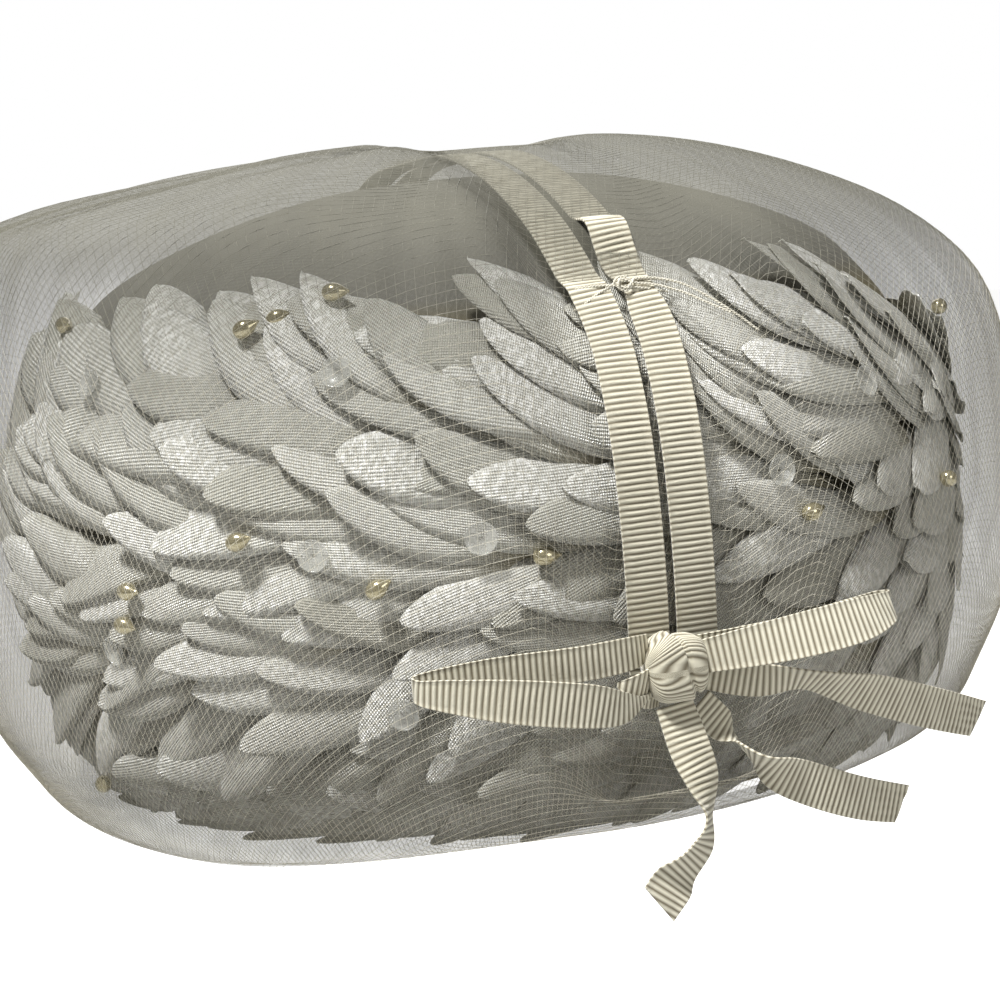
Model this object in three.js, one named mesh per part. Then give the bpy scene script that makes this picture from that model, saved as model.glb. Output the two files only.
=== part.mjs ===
// Pillbox hat with organza leaves, a net veil and a grosgrain bow. Millimetres, +Z up.
// The origin is the centre of the head opening, in the plane of the rim.
// Front, where the bow sits, is -Y. A turn is an angle about Z from the front, positive towards +X.
import * as THREE from 'three';
import { mergeVertices } from 'three/addons/utils/BufferGeometryUtils.js';

// Foundation
const HEAD_OPENING = 178;
const FOUNDATION_WALL = 1.6;
const FOUNDATION_BULGE = 11.4;
const CROWN_EDGE_INSET = 3;
const WALL_HEIGHT = 96;
const CROWN_RISE = 27;

// Leaves
const SPRAY_COUNT = 14;
const LEAVES_PER_SPRAY = 8;
const SPRAY_OVERLAP = 1.32;
const LEAF_THICKNESS = 1;
const LEAF_ROOT_LIFT = 0.6;
const LEAF_SLOPE = 1.7;
const LEAF_CURL = 2.6;
const LEAF_RIDGE = 0.9;
const LEAF_NOTCH = 0.3;
const CLEARANCE = 0.3;

// Trimmings on the leaves
const PEARL_DIAMETER = 3.6;
const PEARL_LENGTH = 5.2;
const SEQUIN_DIAMETER = 6;
const SEQUIN_THICKNESS = 0.8;
const PEARL_SIDES = 10;

// Veil
const VEIL_STANDOFF = 18;
const VEIL_LIFT = 10;
const VEIL_DROP = 6;
const VEIL_TUCK = 18;
const VEIL_THICKNESS = 1;
const VEIL_PUCKER = 1.6;

// Ribbons and bow
const RIBBON_WIDTH = 7.7;
const RIBBON_GAP = 1.5;
const RIBBON_THICKNESS = 1;
const KNOT_WIDTH = 11.5;
const KNOT_HEIGHT = 12;
const KNOT_DEPTH = 9;
const KNOT_CENTRE_HEIGHT = 32;
const KNOT_ASIDE = -2.5;
const LOOP_LENGTH = 46;
const TAIL_LENGTH = 62;

// Profiles of the wall, from the rim to the middle of the crown.
// spread runs from the rim's radius, 0, to the widest radius, 1; up is a share of the wall's height.
const WALL_PROFILE = [
  { spread: 0.0, up: 0.0 },
  { spread: 0.55, up: 0.16 },
  { spread: 0.9, up: 0.36 },
  { spread: 1.0, up: 0.56 },
  { spread: 0.82, up: 0.76 },
];
// reach is a share of the crown edge's radius; rise is a share of the crown's rise above the wall.
const CROWN_PROFILE = [
  { reach: 1.0, rise: -0.3 },
  { reach: 0.95, rise: -0.05 },
  { reach: 0.86, rise: 0.28 },
  { reach: 0.66, rise: 0.62 },
  { reach: 0.34, rise: 0.92 },
];

const TURN = Math.PI * 2;
const rad = THREE.MathUtils.degToRad;
const lerp = THREE.MathUtils.lerp;
const smooth = THREE.MathUtils.smoothstep;

const openingRadius = HEAD_OPENING / 2;
const rimRadius = openingRadius + FOUNDATION_WALL;
const widestRadius = rimRadius + FOUNDATION_BULGE;
const crownEdgeRadius = widestRadius - FOUNDATION_BULGE + CROWN_EDGE_INSET;

// A smooth line in the half plane through the axis: x is the radius, y the height.
function profileCurve(points) {
  const line = points.map(([radius, height]) => new THREE.Vector3(radius, height, 0));
  const curve = new THREE.CatmullRomCurve3(line, false, 'centripetal');
  curve.arcLengthDivisions = 400;
  return curve;
}

function foundationPoints(inset) {
  const wall = WALL_PROFILE.map(({ spread, up }) => [
    lerp(rimRadius, widestRadius, spread) - inset,
    up * WALL_HEIGHT,
  ]);
  const crown = CROWN_PROFILE.map(({ reach, rise }) => [
    reach * crownEdgeRadius - inset,
    WALL_HEIGHT + rise * CROWN_RISE - inset * (1 - reach),
  ]);
  return [...wall, ...crown, [0, WALL_HEIGHT + CROWN_RISE - inset]];
}

const foundationOuter = profileCurve(foundationPoints(0));
const foundationInner = profileCurve(foundationPoints(FOUNDATION_WALL));
const foundationLength = foundationOuter.getLength();

// The point of the foundation's outer face at an arc length from the rim, lifted along its normal.
function onFoundation(turn, arc, lift) {
  const share = THREE.MathUtils.clamp(arc / foundationLength, 0, 1);
  const point = foundationOuter.getPointAt(share);
  const tangent = foundationOuter.getTangentAt(share);
  const radius = point.x + tangent.y * lift;
  const height = point.y - tangent.x * lift;
  return new THREE.Vector3(radius * Math.sin(turn), -radius * Math.cos(turn), height);
}

function foundationNormal(turn, arc) {
  const tangent = foundationOuter.getTangentAt(THREE.MathUtils.clamp(arc / foundationLength, 0, 1));
  return new THREE.Vector3(
    tangent.y * Math.sin(turn),
    -tangent.y * Math.cos(turn),
    -tangent.x,
  ).normalize();
}

function meshOf(name, geometry, material) {
  const mesh = new THREE.Mesh(geometry, material);
  mesh.name = name;
  return mesh;
}

function geometryFrom(positions, index) {
  const geometry = new THREE.BufferGeometry();
  geometry.setAttribute('position', new THREE.Float32BufferAttribute(positions, 3));
  geometry.setIndex(index);
  geometry.computeVertexNormals();
  return geometry;
}

// A closed sheet between a front and a back grid of points, grid[i][j]. The front faces the side
// that the step along i crossed with the step along j points to.
function sheetGeometry(front, back) {
  const across = front[0].length;
  const along = front.length;
  const positions = [];
  for (const grid of [front, back]) {
    for (const row of grid) {
      for (const point of row) positions.push(point.x, point.y, point.z);
    }
  }
  const f = (i, j) => i * across + j;
  const b = (i, j) => along * across + i * across + j;
  const index = [];
  const quad = (p, q, r, s) => index.push(p, q, r, p, r, s);
  for (let i = 0; i < along - 1; i++) {
    for (let j = 0; j < across - 1; j++) {
      quad(f(i, j), f(i + 1, j), f(i + 1, j + 1), f(i, j + 1));
      quad(b(i, j), b(i, j + 1), b(i + 1, j + 1), b(i + 1, j));
    }
    quad(f(i + 1, 0), f(i, 0), b(i, 0), b(i + 1, 0));
    quad(f(i, across - 1), f(i + 1, across - 1), b(i + 1, across - 1), b(i, across - 1));
  }
  for (let j = 0; j < across - 1; j++) {
    quad(f(0, j), f(0, j + 1), b(0, j + 1), b(0, j));
    quad(f(along - 1, j + 1), f(along - 1, j), b(along - 1, j), b(along - 1, j + 1));
  }
  return geometryFrom(positions, index);
}

// Materials
const buckram = new THREE.MeshStandardMaterial({ color: 0x8c8468, roughness: 0.95, metalness: 0 });
const organza = new THREE.MeshStandardMaterial({ color: 0xd9d7cc, roughness: 0.55, metalness: 0.05 });
const grosgrain = new THREE.MeshStandardMaterial({ color: 0xe2d9bd, roughness: 0.7, metalness: 0 });
const pearlCoat = new THREE.MeshStandardMaterial({ color: 0xd8c79a, roughness: 0.25, metalness: 0.2 });
const clearSequin = new THREE.MeshStandardMaterial({
  color: 0xe8e8e2, roughness: 0.1, metalness: 0, transparent: true, opacity: 0.5,
});
const net = new THREE.MeshStandardMaterial({
  color: 0xe6e2d2, roughness: 0.8, metalness: 0, transparent: true, opacity: 0.35,
});
const like = (material) => material.clone();

// Foundation: a stiffened drum, open below for the head, with a softly domed crown.
const FOUNDATION_SIDES = 48;
const FOUNDATION_STEPS = 11;
function makeFoundation() {
  const outer = foundationOuter.getSpacedPoints(FOUNDATION_STEPS);
  const inner = foundationInner.getSpacedPoints(FOUNDATION_STEPS).reverse();
  const profile = [...inner, ...outer].map((point) => new THREE.Vector2(Math.max(point.x, 0), point.y));
  let geometry = new THREE.LatheGeometry(profile, FOUNDATION_SIDES);
  geometry.rotateX(Math.PI / 2);
  geometry.deleteAttribute('normal');
  geometry.deleteAttribute('uv');
  geometry = mergeVertices(geometry, 1e-4);
  return meshOf('foundation', withoutSlivers(geometry), like(buckram));
}

// Drops the triangles that a lathe leaves with two corners in one place on the axis.
function withoutSlivers(geometry) {
  const corners = geometry.index.array;
  const kept = [];
  for (let i = 0; i < corners.length; i += 3) {
    const [p, q, r] = [corners[i], corners[i + 1], corners[i + 2]];
    if (p !== q && q !== r && r !== p) kept.push(p, q, r);
  }
  geometry.setIndex(kept);
  geometry.computeVertexNormals();
  return geometry;
}

// Leaf sprays: each is a column of leaves sewn on by their roots, lying clockwise round the wall.
// root and tip are where the lowest and the highest leaf start and end, as shares of the arc
// from the rim to the crown edge.
const SPRAY_FAN = { rootLow: 0.15, rootHigh: 0.9, tipLow: 0.0, tipHigh: 1.06 };
const SPRAY_STEPS = 4;
const wallArc = foundationLength - crownEdgeRadius;
const sprayPitch = TURN / SPRAY_COUNT;

function leafLift(along, crest) {
  return LEAF_ROOT_LIFT + LEAF_SLOPE * along + LEAF_CURL * along * along + LEAF_RIDGE * crest * along;
}

function makeSpray(number) {
  const rootTurn = number * sprayPitch;
  const rows = LEAVES_PER_SPRAY * 2;
  const top = [];
  const under = [];
  for (let i = 0; i <= SPRAY_STEPS; i++) {
    const along = i / SPRAY_STEPS;
    const topRow = [];
    const underRow = [];
    for (let j = 0; j <= rows; j++) {
      const height = j / rows;
      const crest = j % 2;
      const reach = along * (crest ? 1 : 1 - LEAF_NOTCH * along);
      const turn = rootTurn - reach * sprayPitch * SPRAY_OVERLAP;
      const root = lerp(SPRAY_FAN.rootLow, SPRAY_FAN.rootHigh, height);
      const tip = lerp(SPRAY_FAN.tipLow, SPRAY_FAN.tipHigh, height);
      const arc = wallArc * lerp(root, tip, reach);
      const lift = leafLift(reach, crest);
      underRow.push(onFoundation(turn, arc, lift));
      topRow.push(onFoundation(turn, arc, lift + LEAF_THICKNESS));
    }
    top.push(topRow);
    under.push(underRow);
  }
  const name = `leaf_spray_${String(number + 1).padStart(2, '0')}`;
  return meshOf(name, sheetGeometry(under, top), like(organza));
}

// Pearls and sequins, each sewn on a leaf. turn is in degrees, up a share of the wall's height, and
// point the direction of a pearl's thin end, in degrees above the run of the leaves.
const PEARLS = [
  { turn: -41, up: 0.95, point: -30 },
  { turn: -38, up: 0.99, point: -20 },
  { turn: -31, up: 0.99, point: 0 },
  { turn: -40.5, up: 0.59, point: -15 },
  { turn: -55, up: 0.5, point: 0 },
  { turn: -56, up: 0.44, point: 10 },
  { turn: -27, up: 0.5, point: -30 },
  { turn: -11, up: 0.53, point: 0 },
  { turn: -76, up: 0.97, point: 0 },
  { turn: 17, up: 0.54, point: -10 },
  { turn: 57, up: 0.84, point: 0 },
  { turn: 42, up: 0.53, point: 20 },
  { turn: -72, up: 0.08, point: -40 },
  { turn: 118, up: 0.7, point: 0 },
  { turn: 152, up: 0.35, point: -15 },
  { turn: -140, up: 0.62, point: 10 },
];
const SEQUINS = [
  { turn: -63, up: 0.87 },
  { turn: -30, up: 0.85 },
  { turn: -33, up: 0.56 },
  { turn: -17, up: 0.57 },
  { turn: -60, up: 0.38 },
  { turn: -26, up: 0.28 },
  { turn: 14, up: 0.62 },
  { turn: 28, up: 0.74 },
  { turn: 95, up: 0.5 },
  { turn: 150, up: 0.7 },
  { turn: -115, up: 0.45 },
  { turn: -155, up: 0.7 },
];
const PROBE_RINGS = 3;
const PROBES_ROUND = 10;

// How far above the foundation the leaves reach within a round footprint.
function leavesUnder(sprays, turn, arc, footprint) {
  const normal = foundationNormal(turn, arc);
  const side = new THREE.Vector3(Math.cos(turn), Math.sin(turn), 0);
  const rise = new THREE.Vector3().crossVectors(normal, side);
  const start = VEIL_STANDOFF;
  const caster = new THREE.Raycaster();
  let highest = 0;
  for (let probe = 0; probe <= PROBE_RINGS * PROBES_ROUND; probe++) {
    const angle = (probe / PROBES_ROUND) * TURN;
    const reach = (footprint * Math.ceil(probe / PROBES_ROUND)) / PROBE_RINGS;
    const from = onFoundation(turn, arc, start)
      .addScaledVector(side, reach * Math.cos(angle))
      .addScaledVector(rise, reach * Math.sin(angle));
    caster.set(from, normal.clone().negate());
    for (const hit of caster.intersectObjects(sprays)) highest = Math.max(highest, start - hit.distance);
  }
  return highest;
}

function seatOnLeaf(mesh, sprays, { turn, up }, footprint, halfHeight) {
  const angle = rad(turn);
  const arc = up * wallArc;
  const lift = leavesUnder(sprays, angle, arc, footprint) + CLEARANCE + halfHeight;
  const normal = foundationNormal(angle, arc);
  const side = new THREE.Vector3(Math.cos(angle), Math.sin(angle), 0);
  const rise = new THREE.Vector3().crossVectors(side, normal).negate();
  mesh.position.copy(onFoundation(angle, arc, lift));
  mesh.quaternion.setFromRotationMatrix(new THREE.Matrix4().makeBasis(side, rise, normal));
  return mesh;
}

function closedRound(geometry) {
  geometry.deleteAttribute('normal');
  geometry.deleteAttribute('uv');
  return withoutSlivers(mergeVertices(geometry, 1e-4));
}

// A teardrop pearl, thin at the end where the thread comes out.
const PEARL_OUTLINE = [
  { along: -0.5, girth: 0 },
  { along: -0.38, girth: 0.72 },
  { along: -0.12, girth: 1 },
  { along: 0.16, girth: 0.84 },
  { along: 0.38, girth: 0.4 },
  { along: 0.5, girth: 0 },
];
function makePearl(number, sprays) {
  const outline = PEARL_OUTLINE.map(({ along, girth }) => (
    new THREE.Vector2((girth * PEARL_DIAMETER) / 2, along * PEARL_LENGTH)
  ));
  const geometry = new THREE.LatheGeometry(outline, PEARL_SIDES);
  geometry.rotateZ(Math.PI / 2 - rad(PEARLS[number].point));
  const mesh = meshOf(`pearl_${String(number + 1).padStart(2, '0')}`, closedRound(geometry), like(pearlCoat));
  return seatOnLeaf(mesh, sprays, PEARLS[number], PEARL_DIAMETER / 2, PEARL_DIAMETER / 2);
}

function makeSequin(number, sprays) {
  const geometry = new THREE.CylinderGeometry(
    SEQUIN_DIAMETER / 2, SEQUIN_DIAMETER / 2, SEQUIN_THICKNESS, PEARL_SIDES,
  );
  geometry.rotateX(Math.PI / 2);
  const name = `sequin_${String(number + 1).padStart(2, '0')}`;
  const mesh = meshOf(name, closedRound(geometry), like(clearSequin));
  return seatOnLeaf(mesh, sprays, SEQUINS[number], SEQUIN_DIAMETER / 2, SEQUIN_THICKNESS / 2);
}

// Veil: one bubble of net over leaves and crown. Its hem is turned in under the rim. reach is a share of
// the veil's radius and the heights are shares of its top: boxy where it is puffed, domed where it is drawn.
const VEIL_PROFILE = [
  { reach: 1.0, boxy: 0.3, domed: 0.3 },
  { reach: 1.0, boxy: 0.5, domed: 0.42 },
  { reach: 0.98, boxy: 0.76, domed: 0.59 },
  { reach: 0.94, boxy: 0.875, domed: 0.68 },
  { reach: 0.84, boxy: 0.91, domed: 0.78 },
  { reach: 0.7, boxy: 0.935, domed: 0.86 },
  { reach: 0.45, boxy: 0.966, domed: 0.945 },
];
// spread runs from the rim's radius to the veil's; drop and rise are shares of its drop and tuck there.
const HEM_PROFILE = [
  { spread: 0.46, drop: 0.9, rise: 0.04 },
  { spread: 0.7, drop: 0.6, rise: 0.45 },
  { spread: 0.92, drop: 0.1, rise: 1 },
];
// Round the hat: how far the veil hangs below the rim, how far it rises as it rounds out from its hem, and
// how boxy its shoulder is.
const VEIL_AROUND = [
  { turn: -180, drop: 0.4, tuck: 1, box: 0.6 },
  { turn: -90, drop: 0.6, tuck: 1.1, box: 1.0 },
  { turn: -50, drop: 0.9, tuck: 0.8, box: 0.95 },
  { turn: -10, drop: 0.1, tuck: 1.1, box: 0.7 },
  { turn: 30, drop: 0, tuck: 1.5, box: 0.2 },
  { turn: 90, drop: 0, tuck: 1.7, box: 0.05 },
  { turn: 140, drop: 0.2, tuck: 1.2, box: 0.3 },
  { turn: 180, drop: 0.4, tuck: 1, box: 0.6 },
];
// The ribbons draw the veil in along X = 0, fully within inner and not at all past outer.
const GROOVE = { inner: RIBBON_WIDTH * 1.45, outer: RIBBON_WIDTH * 3.6 };
const PUCKER_WAVES = 11;
const HEM_SHARE = 0.12;

const veilRadius = widestRadius + VEIL_STANDOFF;
const veilTop = WALL_HEIGHT + CROWN_RISE + VEIL_LIFT;
const leafStack = leafLift(1, 1) + LEAF_THICKNESS;
const grooveLift = leafStack + VEIL_THICKNESS + 2 * CLEARANCE;
const crownGrooveLift = VEIL_LIFT / 2;

function aroundAt(turn, column) {
  const degrees = THREE.MathUtils.euclideanModulo(THREE.MathUtils.radToDeg(turn) + 180, 360) - 180;
  const next = Math.max(1, VEIL_AROUND.findIndex((row) => row.turn >= degrees));
  const [a, b] = [VEIL_AROUND[next - 1], VEIL_AROUND[next]];
  return lerp(a[column], b[column], smooth(degrees, a.turn, b.turn));
}

const veilCurves = new Map();
function veilCurve(turn) {
  const key = turn.toFixed(5);
  if (!veilCurves.has(key)) {
    const drop = VEIL_DROP * aroundAt(turn, 'drop');
    const tuck = VEIL_TUCK * aroundAt(turn, 'tuck');
    const box = aroundAt(turn, 'box');
    const hem = HEM_PROFILE.map((row) => [
      lerp(rimRadius, veilRadius, row.spread),
      row.rise * tuck - row.drop * drop,
    ]);
    const bubble = VEIL_PROFILE.map((row) => [
      row.reach * veilRadius,
      lerp(row.domed, row.boxy, box) * veilTop,
    ]);
    const start = [rimRadius + VEIL_THICKNESS, -(VEIL_THICKNESS + CLEARANCE)];
    veilCurves.set(key, profileCurve([start, ...hem, ...bubble, [0, veilTop]]));
  }
  return veilCurves.get(key);
}

// The veil's outer face: share runs along it from the hem to the middle of the crown.
function veilPoint(share, turn) {
  const bubble = veilCurve(turn).getPointAt(share);
  const pucker = Math.sin(turn * PUCKER_WAVES + 2.5 * share) * Math.sin(Math.PI * share) ** 2;
  let radius = bubble.x - (VEIL_PUCKER / 2) * (1 + pucker) * Math.min(1, bubble.x / rimRadius) ** 2;
  let height = bubble.y;
  const aside = Math.abs(bubble.x * Math.sin(turn));
  const climb = THREE.MathUtils.clamp((share - HEM_SHARE) / (1 - HEM_SHARE), 0, 1);
  const front = Math.cos(turn) > 0;
  const foot = front
    ? smooth(height, KNOT_CENTRE_HEIGHT - 3.6 * RIBBON_WIDTH, KNOT_CENTRE_HEIGHT - RIBBON_WIDTH)
    : smooth(height, 0, RIBBON_WIDTH);
  const weight = (1 - smooth(aside, GROOVE.inner, GROOVE.outer)) * foot;
  const groove = onFoundation(0, climb * foundationLength, lerp(grooveLift, crownGrooveLift, climb ** 3));
  radius = lerp(radius, -groove.y, weight);
  height = lerp(height, groove.z, weight);
  return new THREE.Vector3(radius * Math.sin(turn), -radius * Math.cos(turn), height);
}

const VEIL_RINGS = 16;
const GROOVE_STEPS = 4;
const PANEL_STEPS = 13;
// Turns of the veil's meridians, closer together across the two grooves.
function veilTurns() {
  const half = Math.asin(GROOVE.outer / veilRadius);
  const turns = [];
  for (const middle of [0, Math.PI]) {
    for (let i = -GROOVE_STEPS; i <= GROOVE_STEPS; i++) turns.push(middle + (i / GROOVE_STEPS) * half);
    const width = Math.PI - 2 * half;
    for (let i = 1; i < PANEL_STEPS; i++) turns.push(middle + half + (i / PANEL_STEPS) * width);
  }
  return turns;
}

function veilNormal(share, turn) {
  const step = 0.004;
  const along = veilPoint(Math.min(1, share + step), turn).sub(veilPoint(share - step, turn));
  const around = veilPoint(share, turn + step).sub(veilPoint(share, turn - step));
  return around.cross(along).normalize();
}

function makeVeil() {
  const turns = veilTurns();
  const positions = [];
  const index = [];
  for (const inside of [0, VEIL_THICKNESS]) {
    for (let ring = 0; ring < VEIL_RINGS; ring++) {
      const share = ring / VEIL_RINGS;
      for (const turn of turns) {
        const point = veilPoint(share, turn);
        if (inside && ring) point.addScaledVector(veilNormal(share, turn), -inside);
        if (inside && !ring) point.z += inside;
        positions.push(point.x, point.y, point.z);
      }
    }
    const pole = veilPoint(1, 0);
    positions.push(pole.x, pole.y, pole.z - inside);
  }
  const count = turns.length;
  const face = VEIL_RINGS * count + 1;
  const at = (side, ring, i) => side * face + (ring === VEIL_RINGS ? ring * count : ring * count + (i % count));
  for (let i = 0; i < count; i++) {
    for (let ring = 0; ring < VEIL_RINGS; ring++) {
      for (const side of [0, 1]) {
        const corners = [at(side, ring, i), at(side, ring, i + 1), at(side, ring + 1, i + 1), at(side, ring + 1, i)];
        if (side) corners.reverse();
        const [p, q, r, s] = corners;
        if (ring < VEIL_RINGS - 1) index.push(p, q, r, p, r, s);
        else if (side) index.push(q, r, s);
        else index.push(p, q, r);
      }
    }
    index.push(at(0, 0, i), at(1, 0, i), at(1, 0, i + 1), at(0, 0, i), at(1, 0, i + 1), at(0, 0, i + 1));
  }
  return meshOf('veil', geometryFrom(positions, index), like(net));
}

// A flat ribbon of a given width along a line of { centre, wide, out } frames.
function ribbonGeometry(frames) {
  const side = (frame, sign) => [-1, 1].map((edge) => frame.centre.clone()
    .addScaledVector(frame.wide, (edge * frame.width) / 2)
    .addScaledVector(frame.out, (sign * RIBBON_THICKNESS) / 2));
  return sheetGeometry(frames.map((frame) => side(frame, 1)), frames.map((frame) => side(frame, -1)));
}

// The two ribbons run from behind the knot up the wall, over the crown and down to the rim behind.
const RIBBON_STEPS = 22;
// The height at which a ribbon's full width clears the veil, above a point on it.
function clearOfVeil(veil, point, normal) {
  const caster = new THREE.Raycaster();
  let nearest = VEIL_STANDOFF;
  for (const edge of [-1, -0.5, 0, 0.5, 1]) {
    const from = point.clone().addScaledVector(normal, VEIL_STANDOFF);
    from.x += (edge * RIBBON_WIDTH) / 2;
    caster.set(from, normal.clone().negate());
    for (const hit of caster.intersectObject(veil)) nearest = Math.min(nearest, hit.distance);
  }
  return VEIL_STANDOFF - nearest;
}

function makeBand(name, offset, veil) {
  const half = [];
  const seat = RIBBON_THICKNESS / 2 + 2.6 * CLEARANCE;
  for (const back of [0, 1]) {
    const turn = back * Math.PI;
    const rows = [];
    for (let i = 0; i <= RIBBON_STEPS; i++) {
      const share = lerp(HEM_SHARE, 0.985, i / RIBBON_STEPS);
      const point = veilPoint(share, turn);
      const radius = Math.hypot(point.x, point.y);
      const lowest = back ? RIBBON_WIDTH : KNOT_CENTRE_HEIGHT - KNOT_HEIGHT / 2;
      if (radius > Math.abs(offset) * 1.3 && point.z > lowest) {
        const depth = Math.sqrt(radius ** 2 - offset ** 2);
        const normal = veilNormal(share, turn);
        point.set(offset, back ? depth : -depth, point.z);
        point.addScaledVector(normal, clearOfVeil(veil, point, normal) + seat);
        rows.push(point);
      }
    }
    half.push(rows);
  }
  const line = new THREE.CatmullRomCurve3([...half[0], ...half[1].reverse()], false, 'centripetal');
  const steps = 2 * RIBBON_STEPS;
  const frames = [];
  for (let i = 0; i <= steps; i++) {
    const along = line.getTangentAt(i / steps);
    const wide = new THREE.Vector3(1, 0, 0);
    frames.push({
      centre: line.getPointAt(i / steps),
      wide,
      out: new THREE.Vector3().crossVectors(wide, along).normalize(),
      width: RIBBON_WIDTH,
    });
  }
  frames.forEach((frame) => frame.wide.negate());
  return meshOf(name, ribbonGeometry(frames), like(grosgrain));
}

// Bow. across is along the girth from the knot, a share of the piece's length; up is above the knot and
// lift beyond the veil, both shares of the ribbon's width; lean turns the ribbon's width from upright
// towards the girth and roll turns it outwards, in degrees; broad is a share of the ribbon's width.
const BOW_PIECES = [
  {
    name: 'bow_loop_left',
    length: LOOP_LENGTH,
    rows: [
      { across: -0.135, up: -0.35, lift: -0.15, lean: 0, roll: 0, broad: 1 },
      { across: -0.4, up: -0.45, lift: 0.55, lean: 0, roll: 0, broad: 1 },
      { across: -0.72, up: 0.05, lift: 0.95, lean: 0, roll: 0, broad: 0.9 },
      { across: -0.98, up: 0.35, lift: 0.75, lean: 0, roll: 0, broad: 0.62 },
      { across: -0.97, up: 0.45, lift: 0.42, lean: 0, roll: 0, broad: 0.62 },
      { across: -0.72, up: 0.55, lift: 0.28, lean: 0, roll: 0, broad: 0.9 },
      { across: -0.4, up: 0.65, lift: 0.05, lean: 0, roll: 0, broad: 0.9 },
      { across: -0.135, up: 0.5, lift: -0.6, lean: 0, roll: 0, broad: 0.8 },
    ],
  },
  {
    name: 'bow_loop_right',
    length: LOOP_LENGTH,
    rows: [
      { across: 0.135, up: 0.2, lift: -0.15, lean: 0, roll: 0, broad: 0.8 },
      { across: 0.4, up: 0.45, lift: 0.6, lean: 0, roll: -15, broad: 1 },
      { across: 0.66, up: 0.62, lift: 0.95, lean: 0, roll: -20, broad: 1 },
      { across: 0.85, up: 0.72, lift: 0.85, lean: 0, roll: -20, broad: 0.7 },
      { across: 0.84, up: 0.8, lift: 0.5, lean: 0, roll: -10, broad: 0.7 },
      { across: 0.66, up: 0.82, lift: 0.42, lean: 0, roll: 0, broad: 0.9 },
      { across: 0.4, up: 0.65, lift: 0.12, lean: 0, roll: 0, broad: 0.9 },
      { across: 0.135, up: 0.5, lift: -0.6, lean: 0, roll: 0, broad: 0.8 },
    ],
  },
  {
    name: 'bow_tail_right',
    length: TAIL_LENGTH,
    rows: [
      { across: 0.095, up: -0.35, lift: -0.8, lean: 0, roll: 0, broad: 0.7 },
      { across: 0.24, up: -0.6, lift: -0.35, lean: 0, roll: 20, broad: 0.9 },
      { across: 0.38, up: -0.72, lift: 0.2, lean: 0, roll: 55, broad: 0.9 },
      { across: 0.57, up: -1.3, lift: 0.5, lean: 12, roll: 25, broad: 1 },
      { across: 0.78, up: -2, lift: 0.75, lean: 15, roll: 10, broad: 1 },
      { across: 0.98, up: -2.65, lift: 0.95, lean: 15, roll: 0, broad: 0.9 },
    ],
  },
  {
    name: 'bow_tail_long',
    length: TAIL_LENGTH,
    rows: [
      { across: -0.02, up: -0.84, lift: -0.35, lean: -90, roll: 0, broad: 0.9 },
      { across: 0.0, up: -1.8, lift: 0, lean: -80, roll: 0, broad: 1 },
      { across: 0.02, up: -2.5, lift: 0.2, lean: -80, roll: 20, broad: 1 },
      { across: 0.025, up: -3.3, lift: 0.35, lean: -90, roll: 60, broad: 0.9 },
      { across: -0.005, up: -4, lift: 0.4, lean: -90, roll: 30, broad: 0.9 },
      { across: -0.09, up: -4.65, lift: 0.4, lean: -120, roll: 0, broad: 1 },
      { across: -0.15, up: -5.25, lift: 0.4, lean: -120, roll: 0, broad: 1 },
    ],
  },
  {
    name: 'bow_tail_low',
    length: TAIL_LENGTH,
    rows: [
      { across: 0.07, up: -0.95, lift: -0.58, lean: -70, roll: 0, broad: 0.7 },
      { across: 0.16, up: -1.85, lift: -0.45, lean: -45, roll: 0, broad: 0.85 },
      { across: 0.22, up: -2.5, lift: 0.15, lean: -30, roll: 15, broad: 0.9 },
      { across: 0.35, up: -3.1, lift: 0.3, lean: -10, roll: 0, broad: 1 },
      { across: 0.51, up: -3.7, lift: 0.4, lean: 0, roll: 0, broad: 1 },
      { across: 0.67, up: -4.15, lift: 0.5, lean: 0, roll: 0, broad: 0.9 },
    ],
  },
];
const BOW_STEPS_PER_ROW = 3;

function makeBowPiece({ name, length, rows }) {
  const place = (row) => {
    const turn = (KNOT_ASIDE + row.across * length) / veilRadius;
    const radius = veilRadius + row.lift * RIBBON_WIDTH;
    const height = KNOT_CENTRE_HEIGHT + row.up * RIBBON_WIDTH;
    return new THREE.Vector3(radius * Math.sin(turn), -radius * Math.cos(turn), height);
  };
  const line = new THREE.CatmullRomCurve3(rows.map(place), false, 'centripetal');
  const last = rows.length - 1;
  const steps = last * BOW_STEPS_PER_ROW;
  const frames = [];
  for (let i = 0; i <= steps; i++) {
    const share = i / steps;
    const row = Math.min(last - 1, Math.floor(share * last));
    const blend = share * last - row;
    const between = (column) => lerp(rows[row][column], rows[row + 1][column], blend);
    const turn = (KNOT_ASIDE + between('across') * length) / veilRadius;
    const girth = new THREE.Vector3(Math.cos(turn), Math.sin(turn), 0);
    const outward = new THREE.Vector3(Math.sin(turn), -Math.cos(turn), 0);
    const lean = rad(between('lean'));
    const roll = rad(between('roll'));
    const along = line.getTangent(share);
    const wide = new THREE.Vector3(0, 0, Math.cos(lean))
      .addScaledVector(girth, Math.sin(lean))
      .multiplyScalar(Math.cos(roll))
      .addScaledVector(outward, Math.sin(roll));
    wide.addScaledVector(along, -wide.dot(along)).normalize();
    frames.push({
      centre: line.getPoint(share),
      wide,
      out: new THREE.Vector3().crossVectors(along, wide).normalize(),
      width: RIBBON_WIDTH * between('broad'),
    });
  }
  return meshOf(name, ribbonGeometry(frames), like(grosgrain));
}

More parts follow.
